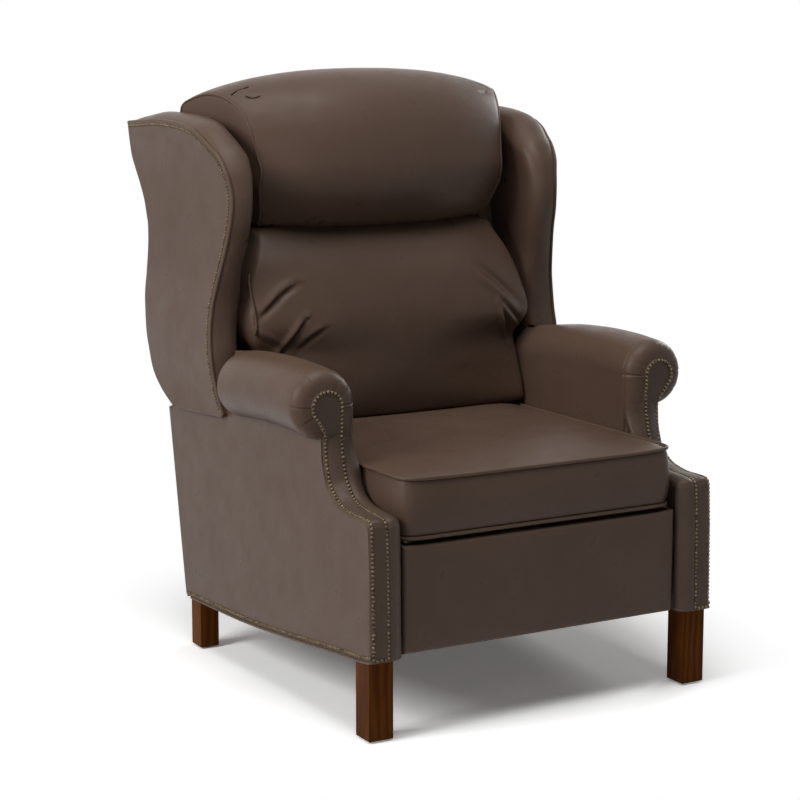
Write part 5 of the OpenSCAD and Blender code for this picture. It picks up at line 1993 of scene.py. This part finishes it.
@dataclass
class FrameFinishes:
    """Finishes of the frame's own nodes, and the rounded edges of its legs.

    Attributes:
        bevel: Radius of the legs' edges in metres.
    """

    bevel: float = 0.0015

    def build(self, nodes: dict[str, Piece]) -> None:
        """Gives every node of the frame its finish.

        Args:
            nodes: The frame's nodes by name.
        """
        for name, node in nodes.items():
            finish = self.finish_of(name)
            node.data.materials.clear()
            node.data.materials.append(finish.material())
            if name.startswith("leg_front") or name.startswith("leg_rear"):
                edge = node.modifiers.new("edge", "BEVEL")
                edge.width, edge.segments, edge.limit_method = self.bevel, 3, "ANGLE"

    @staticmethod
    def finish_of(name: str) -> Finish:
        """The finish of a node, by the words in its name.

        Args:
            name: Name of the node.

        Returns:
            Its finish.
        """
        if name == "leg_glides":
            return NYLON
        if name.startswith("leg_"):
            return MAHOGANY
        if any(word in name for word in ("bar", "bracket", "plate", "link", "tube", "channel")):
            return STEEL
        if name == "seat_deck":
            return LINING_AND_CREASE_SHADE
        if any(word in name for word in ("rail", "post", "stretcher")):
            return BEECH
        return LEATHER


@dataclass
class Studio:
    """Camera, lamps and floor.

    Attributes:
        camera_place: Place of the camera in metres.
        camera_turn: Its turns in degrees.
        lens: Its lens in millimetres.
        lamps: Name, place, aim, size and power of each lamp.
        world_strength: Strength of the grey world, which the camera doesn't see.
        floor_half: Half the floor's width in metres.
        floor_tone: Tone of the floor that lights the chair.
        floor_shown: Tone of the floor that the camera sees. It is above 1, which no real floor
            is: so the floor comes out white under lamps that are set for the leather.
        floor_lift: What the shown floor adds of its own light.
        shadow_reach: Half lengths, across and back, of the ellipse that keeps the shadow.
        fade: Shares of the ellipse between which the floor fades into plain white.
    """

    camera_place: Place = (-2.0754, -3.5543, 1.2231)
    camera_turn: Place = (79.972, 0.0, -29.889)
    lens: float = 97.81
    lamps: tuple[tuple[str, Place, Place, float, float], ...] = (
        ("key", (-3.3, -0.3, 2.2), (0.0, 0.0, 0.6), 1.5, 79.0),
        ("top", (-0.3, -0.7, 3.6), (0.0, 0.0, 0.6), 2.0, 63.0),
        ("rim", (3.0, 1.1, 1.9), (0.0, 0.0, 0.8), 1.0, 24.0),
    )
    world_strength: float = 0.06
    floor_half: float = 30.0
    floor_tone: float = 0.86
    floor_shown: float = 1.45
    floor_lift: float = 0.1
    shadow_reach: tuple[float, float] = (0.62, 0.78)
    fade: tuple[float, float] = (0.72, 1.15)

    def camera(self) -> None:
        """The camera at the photograph's viewing angle."""
        data = bpy.data.cameras.new("camera")
        data.lens, data.sensor_width, data.sensor_fit = self.lens, 36.0, "HORIZONTAL"
        data.clip_end = 50.0
        camera = new_object("camera", data)
        camera.location = self.camera_place
        camera.rotation_euler = [math.radians(a) for a in self.camera_turn]
        bpy.context.scene.camera = camera

    @staticmethod
    def lamp(name: str, place: Place, aim: Place, size: float, power: float) -> None:
        """One square area lamp that points at an aim.

        Args:
            name: Name of the lamp.
            place: Its place in metres.
            aim: Point that it shines at.
            size: Side of its square.
            power: Its power in watts.
        """
        data = bpy.data.lights.new(name, "AREA")
        data.shape, data.size, data.energy = "SQUARE", size, power
        lamp = new_object(name, data)
        away = np.array(place) - np.array(aim)
        tilt = math.atan2(math.hypot(away[0], away[1]), away[2])
        lamp.location = place
        lamp.rotation_euler = (tilt, 0.0, math.atan2(away[0], -away[1]))

    @staticmethod
    def seen_by(tree: Tree, *rays: str) -> Socket:
        """One where the ray is of any of the given kinds, otherwise zero.

        Args:
            tree: Node tree to add to.
            *rays: Names of the light path's outputs.

        Returns:
            The socket that holds it.
        """
        path = add_node(tree, "ShaderNodeLightPath").outputs
        seen = path[rays[0]]
        for ray in rays[1:]:
            pair = {0: seen, 1: path[ray]}
            seen = add_node(tree, "ShaderNodeMath", pair, operation="MAXIMUM").outputs[0]
        return seen

    @staticmethod
    def either(tree: Tree, factor: Socket, first: Socket, second: Socket) -> Socket:
        """Two shaders mixed by a factor."""
        return add_node(tree, "ShaderNodeMixShader", {0: factor, 1: first, 2: second}).outputs[0]

    def world(self) -> None:
        """A grey world that the camera sees as plain white, also in mirrors and through glass."""
        world = bpy.data.worlds.new("studio")
        bpy.context.scene.world = world
        world.use_nodes = True
        tree = world.node_tree
        grey = tree.nodes["Background"]
        fill_inputs(tree, grey, {"Color": WHITE, "Strength": self.world_strength})
        white = add_node(tree, "ShaderNodeBackground", {"Color": WHITE, "Strength": 1.0})
        seen = self.seen_by(tree, "Is Camera Ray", "Is Transmission Ray", "Is Glossy Ray")
        shown = self.either(tree, seen, grey.outputs[0], white.outputs[0])
        fill_inputs(tree, tree.nodes["World Output"], {"Surface": shown})

    def floor(self) -> None:
        """A pale floor that keeps the chair's shadow in an ellipse and fades into plain white."""
        a = self.floor_half
        mesh = bpy.data.meshes.new("floor")
        mesh.from_pydata([(-a, -a, 0), (a, -a, 0), (a, a, 0), (-a, a, 0)], [], [(0, 1, 2, 3)])
        floor = new_object("floor", mesh)
        made = bpy.data.materials.new("pale_floor")
        made.use_nodes = True
        tree = made.node_tree
        tree.nodes.clear()
        matt, shown = (
            add_node(tree, "ShaderNodeBsdfDiffuse", {"Color": (tone, tone, tone, 1.0)}).outputs[0]
            for tone in (self.floor_tone, self.floor_shown)
        )
        glow, white = (
            add_node(tree, "ShaderNodeEmission", {"Color": WHITE, "Strength": level}).outputs[0]
            for level in (self.floor_lift, 1.0)
        )
        lit = add_node(tree, "ShaderNodeAddShader", {0: shown, 1: glow}).outputs[0]
        where = add_node(tree, "ShaderNodeTexCoord").outputs["Object"]
        squeeze = (*(1.0 / reach for reach in self.shadow_reach), 1.0)
        share = add_node(tree, "ShaderNodeVectorMath", {0: where, 1: squeeze}, operation="MULTIPLY")
        reach = add_node(tree, "ShaderNodeVectorMath", {0: share.outputs[0]}, operation="LENGTH")
        fade = mapped(tree, reach.outputs["Value"], self.fade)
        seen = self.seen_by(tree, "Is Camera Ray", "Is Glossy Ray")
        final = self.either(tree, seen, matt, self.either(tree, fade, lit, white))
        add_node(tree, "ShaderNodeOutputMaterial", {"Surface": final})
        floor.data.materials.append(made)

    def build(self) -> None:
        """Sets up the whole studio."""
        self.camera()
        self.world()
        self.floor()
        for lamp in self.lamps:
            self.lamp(*lamp)
        bpy.context.scene.view_settings.view_transform = "Standard"


def main(frame: dict) -> None:
    """Builds the chair's upholstery over the frame, then the studio.
    """
    logging.basicConfig(level=logging.INFO, format="%(name)s: %(message)s")
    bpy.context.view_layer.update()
    leather_group()
    wood_group()
    metal_group()
    FrameFinishes().build(frame["nodes"])
    for side in Side:
        Arm(side).build()
        Wing(side).build()
    OutsideBack().build()
    FootrestPad().build()
    SeatCushion().build()
    BackCushion().build()
    HeadBolster().build()
    Studio().build()


if __name__ == "__main__":
    main(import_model())
